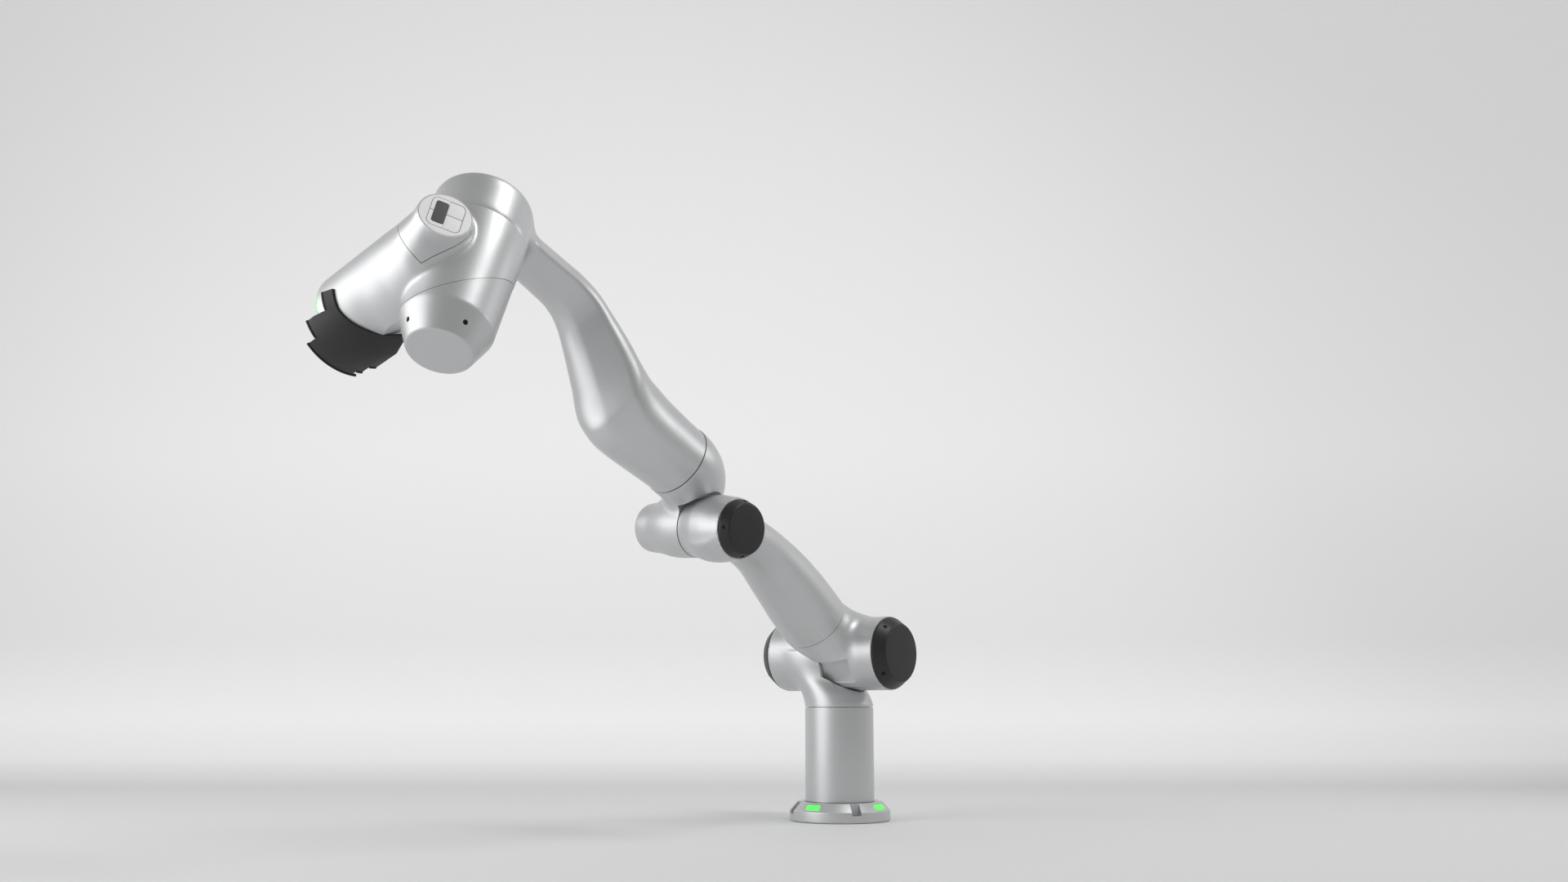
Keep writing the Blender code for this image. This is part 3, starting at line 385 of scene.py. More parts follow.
def lofted_field(sections, edge):
    """A body through tilted oval sections of (centre, normal, x direction, half x, half y)."""
    rows = np.array([[*centre, *normal, *across, half_x, half_y]
                     for centre, normal, across, half_x, half_y in sections], float)
    knots = np.arange(len(rows))
    curves = [through(knots, column) for column in rows.T]
    rows = np.stack([curve(np.linspace(0, len(rows) - 1, 6 * len(rows))) for curve in curves], 1)
    centres, normals = rows[:, :3], rows[:, 3:6] / np.linalg.norm(rows[:, 3:6], axis=1, keepdims=True)
    levels = (centres * normals).sum(1)

    def field(points):
        ahead = points @ normals.T - levels
        last = np.clip((ahead > 0).sum(1) - 1, 0, len(rows) - 2)
        spot = np.arange(len(points))
        a, b = ahead[spot, last], ahead[spot, last + 1]
        t = np.clip(a / np.maximum(a - b, 1e-6), 0, 1)[:, None]
        here = rows[last] + (rows[last + 1] - rows[last]) * t
        across = here[:, 6:9] - here[:, 3:6] * (here[:, 3:6] * here[:, 6:9]).sum(1, keepdims=True)
        across /= np.linalg.norm(across, axis=1, keepdims=True)
        offset = points - here[:, :3]
        x, y = (offset * across).sum(1), (offset * np.cross(here[:, 3:6], across)).sum(1)
        value = (np.hypot(x / here[:, 9], y / here[:, 10]) - 1) * np.minimum(here[:, 9], here[:, 10])
        return soft_max(value, np.maximum(-ahead[:, 0], ahead[:, -1]), edge)
    return field


def bent_field(knots):
    """A round body along a bent line of (centre, radius)."""
    blend = 0.004
    centres = np.array([tuple(knot[0]) for knot in knots])
    radii = [knot[1] for knot in knots]

    def field(points):
        value = None
        for a, b, ra, rb in zip(centres, centres[1:], radii, radii[1:]):
            line = b - a
            t = np.clip((points - a) @ line / (line @ line), 0, 1)
            here = np.linalg.norm(points - a - t[:, None] * line, axis=1) - (ra + (rb - ra) * t)
            value = here if value is None else soft_min(value, here, blend)
        return value
    return field


def soft_cut(field, origin, direction, limit):
    """A field kept on the near side of a plane, `limit` along `direction` from the origin."""
    blend = 0.002
    origin, direction = np.array(origin), np.array(direction)
    return lambda points: soft_max(field(points), (points - origin) @ direction - limit, blend)


def blended(first, second, blend):
    return lambda points: soft_min(first(points), second(points), blend)


def grid_values(field, where, axes):
    """The field on a grid laid along the frame `where`, one slab at a time."""
    turn, origin = np.array(where.to_3x3()), np.array(where.translation)
    shape = tuple(len(axis) for axis in axes)
    values = np.empty(shape)
    flat = np.stack(np.meshgrid(axes[1], axes[2], indexing="ij"), -1).reshape(-1, 2)
    for i, x in enumerate(axes[0]):
        rows = np.column_stack([np.full(len(flat), x), flat])
        values[i] = field(rows @ turn.T + origin).reshape(shape[1:])
    return values


def skin(name, field, where):
    """The closed surface where a field is zero, found first on a coarse grid and then on a fine one."""
    turn, origin = np.array(where.to_3x3()), np.array(where.translation)
    step, coarse, margin = GRID, 0.014, 0.006
    spans = ((-0.30, 0.30), (-0.30, 0.30), (-0.30, 0.72))
    rough = [np.arange(start, stop, coarse) for start, stop in spans]
    full = np.argwhere(grid_values(field, where, rough) < margin)
    low = [rough[axis][full[:, axis].min()] - coarse for axis in range(3)]
    high = [rough[axis][full[:, axis].max()] + coarse for axis in range(3)]
    axes = [np.arange(a, b + step, step) for a, b in zip(low, high)]
    inside = grid_values(field, where, axes) < 0
    shape = inside.shape
    count = sum(inside[i:shape[0] - 1 + i, j:shape[1] - 1 + j, k:shape[2] - 1 + k].astype(int)
                for i in (0, 1) for j in (0, 1) for k in (0, 1))
    mixed = (count > 0) & (count < 8)
    index = np.full(mixed.shape, -1)
    index[mixed] = np.arange(mixed.sum())
    cells = np.argwhere(mixed)
    points = (np.array(low) + (cells + 0.5) * step) @ turn.T + origin
    reach, rounds = 0.0004, 6
    for _ in range(rounds):
        value = field(points)
        slope = np.stack([(field(points + reach * unit) - field(points - reach * unit)) / (2 * reach)
                          for unit in np.eye(3)], 1)
        move = value / np.maximum((slope ** 2).sum(1), 0.2)
        points = points - np.clip(move, -step, step)[:, None] * slope
    quads = []
    for axis in range(3):
        sides, number = np.moveaxis(inside, axis, 0), np.moveaxis(index, axis, 0)
        i, j, k = np.nonzero((sides[1:] != sides[:-1])[:, 1:-1, 1:-1])
        quad = np.stack([number[i, j, k], number[i, j + 1, k],
                         number[i, j + 1, k + 1], number[i, j, k + 1]], 1)
        flip = sides[:-1][:, 1:-1, 1:-1][i, j, k] ^ (axis == 1)
        quad[flip] = quad[flip][:, ::-1]
        quads.append(quad)
    return mesh_of(name, points, np.concatenate(quads))


def casting(name, field, where):
    return object_of(name, skin(name, field, where))


def clear(piece, where, radius, start, end, sides=192):
    """Takes a cylinder about z out of a piece, between two heights."""
    cut(piece, lathe("clear", [(radius, min(start, end)), (radius, max(start, end))], sides), where)


# ---- base and column ----
def make_base():
    base = object_of("flange", lathe("flange", [*arc([
        (0.040, 0), (FLANGE_RADIUS - 0.0014, 0), (FLANGE_RADIUS, 0.0014), (FLANGE_RADIUS, FLANGE_EDGE),
        (FLANGE_TOP_RADIUS, FLANGE_TOP), (0.0618, FLANGE_TOP), (0.0612, 0.0305)], 0.0012), (0.040, 0.0305)],
        ring=True))
    cut(base, lathe("floor", [(0.0402, 0.0), (0.0402, 0.006)], 96), BASE_PLACE, "UNION")
    for i in range(4):
        cut_slot(base, spun(SLOT_TURN + 90 * i))
        make_window(base, i)
    add("flange", base, "base", SILVER, "silver_casing", "base_flange")
    make_column()


def cut_slot(base, spin):
    """An open notch for a bolt's head, with the bolt's hole in its floor."""
    outline = rounded_outline(0.0695, -0.0085, 0.11, 0.0085, [0.002] * 4)
    cut(base, prism("notch", outline, 0.0125, 0.05), spin)
    clear(base, spin @ Matrix.Translation((0.0787, 0, 0)), 0.0045, -0.01, 0.03, 48)


def window_outline(spare):
    depth, width = WINDOW_DEPTH + spare, WINDOW_WIDTH + spare
    return rounded_outline(-depth, -width, depth, width, [WINDOW_ROUND + spare] * 4)


def make_window(base, i):
    """A light's glass, let into the slope of the flange."""
    slope = math.atan2(FLANGE_TOP - FLANGE_EDGE, FLANGE_RADIUS - FLANGE_TOP_RADIUS)
    middle = Matrix.Translation(((FLANGE_RADIUS + FLANGE_TOP_RADIUS) / 2, 0, (FLANGE_TOP + FLANGE_EDGE) / 2))
    where = spun(WINDOW_TURN + 90 * i) @ middle @ Matrix.Rotation(slope, 4, "Y")
    cut(base, prism("pocket", window_outline(FIT), -0.0044, 0.01), where)
    glass = object_of("glass", prism("glass", window_outline(0), -0.004, 0.0006, 0.0006), where)
    add(f"window_{i + 1}", glass, "base", LIGHT, "light", f"base_light_window_{i + 1}")


def make_column():
    """The column, with a collar that fills the seam above it, and the socket in its back."""
    collar_radius, low, high = 0.0570, COLUMN_TOP - SEAM / 2, COLUMN_TOP + SEAM / 2 - 0.0001
    column = object_of("column", lathe("column", [(COLUMN_BORE, COLUMN_FOOT), *arc([
        (0.0600, COLUMN_FOOT), (COLUMN_RADIUS, 0.0327), (COLUMN_RADIUS, COLUMN_TOP - 0.0010), (0.0600, low)],
        0.0006), (collar_radius, low), (collar_radius, high), (COLUMN_BORE, high)], ring=True))
    socket = (spun(180) @ Matrix.Translation((COLUMN_RADIUS, 0, SOCKET_HEIGHT))
              @ Matrix.Rotation(math.pi / 2, 4, "Y"))
    clear(column, socket, 0.0105, -0.03, 0.03, 64)
    add("column", column, "base", SILVER, "silver_casing", "base_column")
    body, rim, throat = 0.0101, 0.0135, 0.0075
    shell = lathe("socket", [(body, -0.009), (body, 0.0006), *arc([
        (body, 0.0006), (rim, 0.0006), (rim, 0.0036), (0.0105, 0.0036), (0.0105, 0.0096), (throat, 0.0096),
        (throat, -0.006)], 0.0005), (0.003, -0.006), (0.003, -0.009)], 64, ring=True)
    add("cable_socket", object_of("socket", shell, socket), "base", STEEL, "inner_metal",
        "base_cable_socket")


# ---- black caps and their screws ----
def make_screw(piece, where, body, solid):
    """A pocket in a piece, and in it a countersunk screw with a hexagonal socket."""
    clear(piece, where, 0.0036, -0.0055, 0.012, 48)
    head = object_of("screw", lathe("screw", arc([
        (0.0012, -0.0045), (0.0026, -0.0045), (0.0034, -0.0030), (0.0034, -0.0020),
        (0.0012, -0.0020)], 0.0003), 48), where)
    hexagon = [(0.0016 * math.cos(k * math.pi / 3), 0.0016 * math.sin(k * math.pi / 3)) for k in range(6)]
    cut(head, prism("hex", hexagon, -0.0040, 0.0), where)
    # the head takes the near-black painted shade of its hole
    add(f"{solid}_head", head, body, SCREW_HOLE_SHADE, "steel", solid)


def make_cap(name, where, body, solid, rim, disc, at, thickness, side):
    """A black conical cap with a soft rim and four screws set square into its cone."""
    seat, top, first_screw = rim - 0.012, at + thickness, 39.375
    profile = [(0.02, at - 0.006), (seat, at - 0.006), (seat, at + FIT), *arc([
        (seat, at + FIT), (rim, at + FIT), (rim, at + 0.003), (disc, top), (0.02, top + 0.0002)],
        0.0022, 7), (0.0001, top + 0.0002)]
    profile = [(radius, side * height) for radius, height in profile]
    cap = object_of("cap", lathe("cap", profile), where)
    slope = math.atan2(thickness - 0.003, rim - disc)
    lean = Matrix.Rotation(slope if side > 0 else math.pi - slope, 4, "Y")
    middle = Matrix.Translation(((rim + disc) / 2, 0, side * (at + 0.0015 + thickness / 2)))
    for i in range(4):
        at_screw = where @ spun(first_screw + 90 * i) @ middle @ lean
        make_screw(cap, at_screw, body, f"{name}_cap_screw_{i + 1}")
    add(f"{name}_black_cap", cap, body, BLACK, "black_plastic", solid)


def make_caps():
    for name, body, side in (("shoulder", "shoulder", -1), ("swing", "swing", 1)):
        make_cap(name, SHOULDER_PLACE, body, f"{name}_cap", 0.062, 0.0495, SHOULDER_HALF, 0.0215, side)
    make_cap("elbow", ELBOW_PLACE, "upper_arm", "elbow_outer_cap", 0.0465, 0.040, ELBOW_HALF, 0.018, 1)


# ---- castings ----
def make_shoulder():
    """The shoulder's casting. Its shape is handed back, to cut the swing's relief with."""
    low = COLUMN_TOP + SEAM / 2
    rise = SHOULDER.z - low
    rows = [(low - 0.02, 0, 0, COLUMN_RADIUS, COLUMN_RADIUS)]
    for share, aside, half_x, half_y in (
            (0, 0, COLUMN_RADIUS, COLUMN_RADIUS), (0.2, -0.0054, 0.0600, 0.0594),
            (0.4, -0.0183, 0.0598, 0.0568), (0.6, -0.0337, 0.0598, 0.0537),
            (0.8, -0.0466, 0.0600, 0.0511), (1, -0.052, 0.0600, 0.050)):
        rows.append((low + share * rise, 0, aside, half_x, half_y))
    neck = swept_field(BASE_PLACE, rows, low - 0.01, low + rise, 0.002)
    drum = turned_field(SHOULDER_PLACE, [(-SHOULDER_HALF, SHOULDER_RADIUS), (0.01, SHOULDER_RADIUS)],
                        -SHOULDER_HALF, 0.012, 0.0012)
    piece = casting("shoulder_shell", blended(neck, drum, 0.012), BASE_PLACE)
    cut(piece, lathe("below", [(0.3, low - 0.1), (0.3, low)], 64), BASE_PLACE)
    clear(piece, SHOULDER_PLACE, SHOULDER_RADIUS + DRUM_CLEAR, -SEAM / 2, 0.16)
    clear(piece, SHOULDER_PLACE, CAP_BORE, -0.2, -CAP_SEAT)
    shape = piece.data.copy()
    add("shoulder_shell", piece, "shoulder", SILVER, "silver_casing", "shoulder_casing")
    return shape


def make_swing(shoulder_shape):
    aside, half_x, half_y, rows = 0.050, 0.050, 0.0605, []
    for share in (0, 0.25, 0.5, 0.75, 1, 1.2):
        done = min(share, 1)
        ease = done ** 2 * (3 - 2 * done)
        rows.append((NECK_LENGTH * share, aside * (1 - ease), 0, half_x + 0.009 * ease,
                     half_y + (NECK_RADIUS - half_y) * done))
    neck = swept_field(NECK_PLACE, rows, -0.004, NECK_LENGTH + 0.012, 0.002)
    drum = turned_field(SHOULDER_PLACE, [(-0.012, SHOULDER_RADIUS), (SHOULDER_HALF, SHOULDER_RADIUS)],
                        -0.012, SHOULDER_HALF, 0.0012)
    piece = casting("swing_shell", blended(neck, drum, 0.016), NECK_PLACE)
    clear(piece, NECK_PLACE, 0.2, NECK_LENGTH - SEAM / 2, NECK_LENGTH + 0.1)
    clear(piece, SHOULDER_PLACE, SHOULDER_RADIUS + DRUM_CLEAR, SEAM / 2, -0.16)
    clear(piece, SHOULDER_PLACE, CAP_BORE, CAP_SEAT, 0.2)
    shelf = [(radius * math.cos(math.radians(angle)), radius * math.sin(math.radians(angle)))
             for radius, angle in ((0.0640, 99), (0.0555, 111), (0.0640, 141), (0.095, 135), (0.095, 105))]
    cut(piece, prism("shelf", shelf, -0.005, 0.066), SHOULDER_PLACE)
    # relief where the shoulder's neck arrives when the joint is at its upper limit
    limit = math.radians(JOINTS["joint_2_swing"]["range_deg"][1]) + RELIEF
    cut(piece, shoulder_shape, turned_round(SHOULDER, joint_axis("joint_2_swing"), -limit, RELIEF_GROWTH))
    add("swing_shell", piece, "swing", SILVER, "silver_casing", "swing_casing")


def make_upper_arm():
    start = NECK_LENGTH + SEAM / 2
    length = UPPER_ARM_LENGTH + 0.012 - start
    inward = NECK_PLACE.to_3x3().inverted()
    drop = inward @ (ELBOW - SHOULDER - UPPER_ARM_LENGTH * ARM)
    aside = inward @ (UPPER_ARM_ASIDE * ELBOW_AXIS)
    rows = [(start - 0.03, 0, 0, 0.0594, 0.0594)]
    for share, over, down, width, height in (
            (0, 0, 0, 0.0596, 0.0596), (0.15, 0, 0, 0.059, 0.059), (0.3, 0.06, 0.02, 0.056, 0.056),
            (0.45, 0.2, 0.1, 0.051, 0.052), (0.6, 0.45, 0.25, 0.045, 0.047), (0.75, 0.75, 0.5, 0.042, 0.045),
            (0.9, 0.95, 0.82, 0.041, 0.045), (1, 1, 1, 0.040, 0.045)):
        rows.append((start + length * share, over * aside.x + down * drop.x, over * aside.y + down * drop.y,
                     width, height))
    arm = swept_field(NECK_PLACE, rows, start - 0.012, start + length, 0.006)
    drum = turned_field(ELBOW_PLACE, [(-0.010, 0.046), (0.004, 0.047), (0.036, 0.0530), (0.050, 0.0532),
                                      (ELBOW_HALF, 0.0485)], -0.010, ELBOW_HALF, 0.0010)
    piece = casting("upper_arm_shell", blended(arm, drum, 0.020), NECK_PLACE)
    clear(piece, NECK_PLACE, 0.2, start - 0.1, start)
    clear(piece, ELBOW_PLACE, ELBOW_CLEAR, SEAM / 2, -0.16)
    clear(piece, ELBOW_PLACE, ELBOW_BORE, ELBOW_HALF - 0.008, 0.2)
    add("upper_arm_shell", piece, "upper_arm", SILVER, "silver_casing", "upper_arm_casing")


def make_elbow():
    seam = REACH_START + FOREARM_SEAM * REACH
    start, start_radius, steps = ELBOW - 0.040 * ELBOW_AXIS, 0.0400, 12
    lift = (REACH_START - ELBOW).normalized()
    handles = (start, start + 0.070 * lift, seam - 0.055 * REACH, seam)
    knots = []
    for step in range(steps + 1):
        t = step / steps
        centre = (handles[0] * (1 - t) ** 3 + 3 * handles[1] * (1 - t) ** 2 * t
                  + 3 * handles[2] * (1 - t) * t * t + handles[3] * t ** 3)
        ease = t * t * (3 - 2 * t)
        knots.append((centre, start_radius * (1 - ease) + FOREARM_RADIUS * ease))
    knots.append((seam + 0.012 * REACH, FOREARM_RADIUS))
    horn = turned_field(ELBOW_PLACE, [(-0.118, 0.0340), (-0.108, 0.0400), (-0.080, 0.0425), (-0.040, 0.0450),
                                      (0, 0.0475), (0.012, 0.0475)], -0.118, 0.012, 0.012)
    piece = casting("elbow_shell", blended(bent_field(knots), horn, 0.022), FOREARM_PLACE)
    clear(piece, FOREARM_PLACE, 0.2, FOREARM_SEAM - SEAM / 2, FOREARM_SEAM + 0.2)
    clear(piece, ELBOW_PLACE, ELBOW_CLEAR, -SEAM / 2, 0.16)
    add("elbow_shell", piece, "elbow", SILVER, "silver_casing", "elbow_casing")


def make_forearm():
    start = FOREARM_SEAM + SEAM / 2
    length = FOREARM_LENGTH - 0.010 - start
    where = place(REACH_START, REACH, -WRIST_AXIS)
    rows = [(start - 0.03, 0, 0, FOREARM_RADIUS, FOREARM_RADIUS)]
    for share, lift, height, width in (
            (0, 0, 0.0596, 0.0596), (0.16, 0, 0.0625, 0.0625), (0.28, 0.03, 0.066, 0.066),
            (0.35, 0.13, 0.0655, 0.067), (0.42, 0.40, 0.054, 0.061), (0.51, 0.71, 0.043, 0.051),
            (0.57, 0.89, 0.0365, 0.045), (0.62, 0.97, 0.0335, 0.041), (0.67, 1, 0.032, 0.039),
            (0.8, 1, 0.031, 0.037), (1, 1, 0.027, 0.036)):
        rows.append((start + length * share, lift * FOREARM_LIFT, 0, height, width))
    facing = math.radians(-152)
    shares = [(start + length * along, share) for along, share in
              ((0, 1.06), (0.12, 1.0), (0.28, 0.88), (0.42, 0.80), (0.8, 0.76), (1, 0.74))]
    flats = [((math.cos(facing), math.sin(facing)), shares, (0.003, 0.026))]
    arm = swept_field(where, rows, start - 0.012, start + length, 0.012, flats)
    crown = turned_field(WRIST_PLACE, [(-0.078, 0.0690), (-0.062, 0.0715), (-0.045, WRIST_TOP_RADIUS),
                                       (0.012, WRIST_TOP_RADIUS)], -0.077, 0.012, 0.022)
    piece = casting("forearm_shell", blended(arm, crown, 0.020), where)
    clear(piece, FOREARM_PLACE, 0.2, start - 0.1, start)
    clear(piece, WRIST_PLACE, 0.079, -SEAM / 2, 0.25)
    add("forearm_shell", piece, "forearm", SILVER, "silver_casing", "forearm_casing", "forearm_end_cap")


# ---- wrist ----
def tube_field(low=-TUBE_FACE):
    """The tube and its pod, bending from the tube's axis towards the panel's."""
    shift = PANEL_SIDE * TUBE_SIDE - PANEL_RISE * WRIST_AXIS
    sections = []
    for along, share, radius in (
            (low, 0, TUBE_RADIUS), (-0.045, 0, TUBE_RADIUS), (-0.03, 0, 0.0658), (0, 0.06, 0.0640),
            (0.020, 0.25, 0.0575), (0.038, 0.55, 0.0480), (0.050, 0.85, 0.0405)):
        normal = TUBE.lerp(PANEL_NORMAL, share).normalized()
        sections.append((TUBE_MIDDLE + along * TUBE + share * shift, normal, TUBE_SIDE, radius, radius))
    for beyond in (0, 0.012):
        radius = PANEL_RADIUS - 0.3 * beyond
        sections.append((PANEL + beyond * PANEL_NORMAL, PANEL_NORMAL, TUBE_SIDE, radius, radius))
    lean = 0.010 * WRIST_AXIS - 0.010 * TUBE_SIDE
    lobe = bent_field([(TUBE_MIDDLE - 0.125 * TUBE, 0.050), (TUBE_MIDDLE + lean - 0.085 * TUBE, 0.0610),
                       (TUBE_MIDDLE + lean - 0.035 * TUBE, 0.0615),
                       (TUBE_MIDDLE + lean + 0.2 * shift - 0.008 * TUBE, 0.052),
                       (TUBE_MIDDLE + lean + 0.55 * shift + 0.018 * TUBE, 0.036)])
    end = soft_cut(lobe, TUBE_MIDDLE, -TUBE, -low)
    return blended(lofted_field(sections, 0.0016), end, 0.016)


def wrist_field():
    return turned_field(WRIST_PLACE, [
        (-0.02, WRIST_TOP_RADIUS), (0, WRIST_TOP_RADIUS), (WRIST_LENGTH, WRIST_RADIUS),
        (WRIST_LENGTH + WRIST_STEP, WRIST_RADIUS), (WRIST_LENGTH + WRIST_CONE, WRIST_DISC_RADIUS)],
        -0.012, WRIST_LENGTH + WRIST_CONE, 0.0022)


def wrist_core(name, spare):
    """The wrist's own body, grown by `spare`, as a tool."""
    top, foot = WRIST_TOP_RADIUS + spare, WRIST_RADIUS + spare
    return lathe(name, [(top, -0.05), (top, 0), (foot, WRIST_LENGTH), (foot, WRIST_LENGTH + 0.03)])


def half_space(side):
    """A big block on one side of the plane z = 0."""
    reach = 0.3
    return block("half_space", (-reach, -reach, min(side, 0) * reach), (reach, reach, max(side, 0) * reach))


def make_wrist():
    body, tube = wrist_field(), tube_field()
    piece = casting("wrist_shell", blended(body, tube, 0.006), WRIST_PLACE)
    clear(piece, WRIST_PLACE, 0.4, -0.1, SEAM / 2)
    cut(piece, half_space(1), cover_place(-FIT))
    # only what lies past the pod's seam and outside the wrist's own body goes
    outside = object_of("pod_tool", half_space(1), pod_place(-FIT))
    cut(outside, wrist_core("keep", POD_LEDGE - FIT), WRIST_PLACE)
    tool = outside.data.copy()
    bpy.data.objects.remove(outside, do_unlink=True)
    cut(piece, tool, BASE_PLACE)
    clear(piece, TUBE_PLACE, TUBE_BORE, -0.30, -0.150)
    add("wrist_shell", piece, "wrist", SILVER, "silver_casing", "wrist_casing")
    make_cover()
    make_pod()
    make_panel()


def make_cover():
    """The wrist's slanted end cover with its four screws."""
    low, top, first_screw = 0.03, WRIST_LENGTH + WRIST_CONE, 3.75
    wall = WRIST_TOP_RADIUS + (WRIST_RADIUS - WRIST_TOP_RADIUS) * low / WRIST_LENGTH
    rounded = arc([(0.066, low), (WRIST_RADIUS, WRIST_LENGTH), (WRIST_DISC_RADIUS, top), (0.0001, top)],
                  0.0035, 8)
    profile = [(0.0001, low), (wall, low), *rounded[1:]]
    piece = object_of("cover", lathe("cover", profile), WRIST_PLACE)
    cut(piece, half_space(-1), cover_place(FIT))
    clear(piece, TUBE_PLACE, TUBE_RADIUS + FIT, -0.15, 0.0)
    lean = Matrix.Rotation(math.atan2(WRIST_CONE - 0.003, WRIST_RADIUS - WRIST_DISC_RADIUS), 4, "Y")
    middle = Matrix.Translation(((WRIST_RADIUS + WRIST_DISC_RADIUS) / 2, 0,
                                 WRIST_LENGTH + WRIST_STEP + WRIST_CONE / 2))
    for i in range(4):
        at_screw = WRIST_PLACE @ spun(first_screw + 90 * i) @ middle @ lean
        make_screw(piece, at_screw, "wrist", f"wrist_cover_screw_{i + 1}")
    add("wrist_cover", piece, "wrist", COVER, "silver_casing", "wrist_end_cover")


def cut_wells(piece):
    """The two wells that the keys sit in."""
    for outline in (rounded_outline(-0.0164, -0.0187, 0.0009, 0.0208, [0.0034] * 4),
                    rounded_outline(0.0005, -0.0252, 0.0234, 0.0264, [0.0024, 0.0084, 0.0084, 0.0024])):
        cut(piece, prism("well", outline, WELL_FLOOR, 0.01), PANEL_PLACE)


def make_pod():
    piece = casting("pod_shell", tube_field(POD_START), TUBE_PLACE)
    cut(piece, half_space(-1), pod_place(FIT))
    cut(piece, wrist_core("room", POD_LEDGE + FIT), WRIST_PLACE)
    cut(piece, half_space(1), PANEL_PLACE)
    clear(piece, PANEL_PLACE, PANEL_RADIUS - PANEL_LIP + 0.0003, -0.0024, 0.02)
    cut_wells(piece)
    add("pod_shell", piece, "wrist", SILVER, "silver_casing", "wrist_pod_casing")


def make_panel():
    """The white disc, and the thin dark outline round the keys, let into it."""
    rim = PANEL_RADIUS - PANEL_LIP
    edge = arc([(rim - 0.001, PANEL_BACK), (rim, PANEL_BACK), (rim, PANEL_TOP), (0.0001, PANEL_TOP)], 0.0012)
    panel = object_of("panel", lathe("panel", [(0.0001, PANEL_BACK), *edge]), PANEL_PLACE)
    cut_wells(panel)
    line_top = PANEL_TOP + 0.00005
    outer = rounded_outline(-0.0223, -0.0254, 0.0236, 0.0266, [0.0088] * 4)
    inner = rounded_outline(-0.0216, -0.0247, 0.0230, 0.0260, [0.0081] * 4)
    lines = object_of("lines", prism("lines", outer, -0.0018, line_top), PANEL_PLACE)
    cut(lines, prism("inside", inner, -0.01, 0.01), PANEL_PLACE)
    for low_x, high_x, top in ((-0.0219, -0.0165, line_top), (0.0010, 0.0232, PANEL_TOP - 0.0002)):
        cut(lines, block("bar", (low_x, 0.0005, -0.0017), (high_x, 0.0013, top)), PANEL_PLACE, "UNION")
    add("panel_lines", lines, "wrist", LINE, "black_plastic")
    # the disc takes the white with the painted glow
    add("panel_disc", panel, "wrist", GLOWING_WHITE, "white_plastic", "wrist_panel")


def make_keys():
    for name, look, slot, outline, top, rim in (
            ("grip", GREY, "grey_key", (-0.0160, -0.0183, 0.0005, 0.0204, [0.0034] * 4), 0.0016, 0.0007),
            ("upper", GLOWING_WHITE, "white_plastic",
             (0.0009, 0.0014, 0.0228, 0.0258, [0.0005, 0.0005, 0.008, 0.002]), KEY_TOP, 0.0003),
            ("lower", GLOWING_WHITE, "white_plastic",
             (0.0009, -0.0245, 0.0228, 0.0004, [0.002, 0.008, 0.0005, 0.0005]), KEY_TOP, 0.0003)):
        key = prism(name, rounded_outline(*outline), KEY_FOOT, top, rim)
        add(f"{name}_key", object_of(name, key, PANEL_PLACE), f"key_{name}", look, slot, f"panel_key_{name}")


# ---- the tube's far end ----
def arc_shell(name, profile, start, end, steps):
    """A closed profile of (radius, height) swept part of the way round z.

    A height may be a function of the angle in degrees.
    """
    points, faces = [], []
    count = len(profile)
    for step in range(steps + 1):
        degrees = start + (end - start) * step / steps
        angle = math.radians(degrees)
        for radius, height in profile:
            height = height(degrees) if callable(height) else height
            points.append((radius * math.cos(angle), radius * math.sin(angle), height))
    for step in range(steps):
        low, high = step * count, (step + 1) * count
        faces += [(low + i, low + (i + 1) % count, high + (i + 1) % count, high + i) for i in range(count)]
    faces += [tuple(range(count)), tuple(range(steps * count, (steps + 1) * count))]
    return mesh_of(name, points, faces)


def make_guard():
    """The black guard round part of the tube. Its far end is stepped, with a lip on each step."""
    inner, outer, end = TUBE_RADIUS + FIT, GUARD_RADIUS, GUARD_END

    def near(degrees):
        """The height of the guard's near edge, which climbs the tube past 45 degrees."""
        return -0.1455 + 0.0395 * max(0.0, (degrees - 45) / 75) ** 1.3

    guard = object_of("guard", arc_shell("guard", [
        (inner, near), (inner, end), (outer, end), (outer, lambda degrees: near(degrees) - 0.034),
        (inner + 0.0030, lambda degrees: near(degrees) - 0.001)], 20, 126, 96), TUBE_PLACE)
    # degrees from and to, height and radius of each lip
    lips = [(58, 117, end, outer), (40, 59, -0.199, outer), (20, 41, -0.163, 0.0758),
            (112, 119, -0.207, outer), (118, 126, -0.188, outer)]
    for start, stop, at, _ in lips[1:]:
        first, last = (start - 2, stop) if start < 90 else (start, stop + 2)
        step = arc_shell("step", [(0.05, -0.26), (0.10, -0.26), (0.10, at), (0.05, at)], first, last, 24)
        cut(guard, step, TUBE_PLACE)
    for start, stop, at, radius in lips:
        lip = arc_shell("lip", [(radius - 0.002, at + 0.0002), (radius + 0.0012, at + 0.0002),
                                (radius + 0.0012, at + 0.0024), (radius - 0.002, at + 0.0032)],
                        start + 0.3, stop - 0.3, 24)
        cut(guard, lip, TUBE_PLACE, "UNION")
    add("guard", guard, "wrist", GUARD, "black_plastic", "wrist_guard")


def make_tube_end():
    """The light ring and the dark face inside it."""
    near, far, edge = -TUBE_FACE - FIT, -TUBE_END, TUBE_RADIUS - 0.0012
    profile = arc([(LIGHT_RADIUS, near), (LIGHT_RADIUS, far), (edge, far), (edge, near)], 0.0008)
    ring = object_of("ring", lathe("ring", profile, ring=True), TUBE_PLACE)
    add("light_ring", ring, "wrist", LIGHT, "light", "wrist_light_ring")
    bore, rim, face = 0.045, 0.0590, far + 0.0004
    profile = arc([(bore, near), (bore, face), (rim, face), (rim, near)], 0.0006)
    plate = object_of("plate", lathe("plate", profile, ring=True), TUBE_PLACE)
    add("tube_face_plate", plate, "wrist", INNER, "inner_metal")


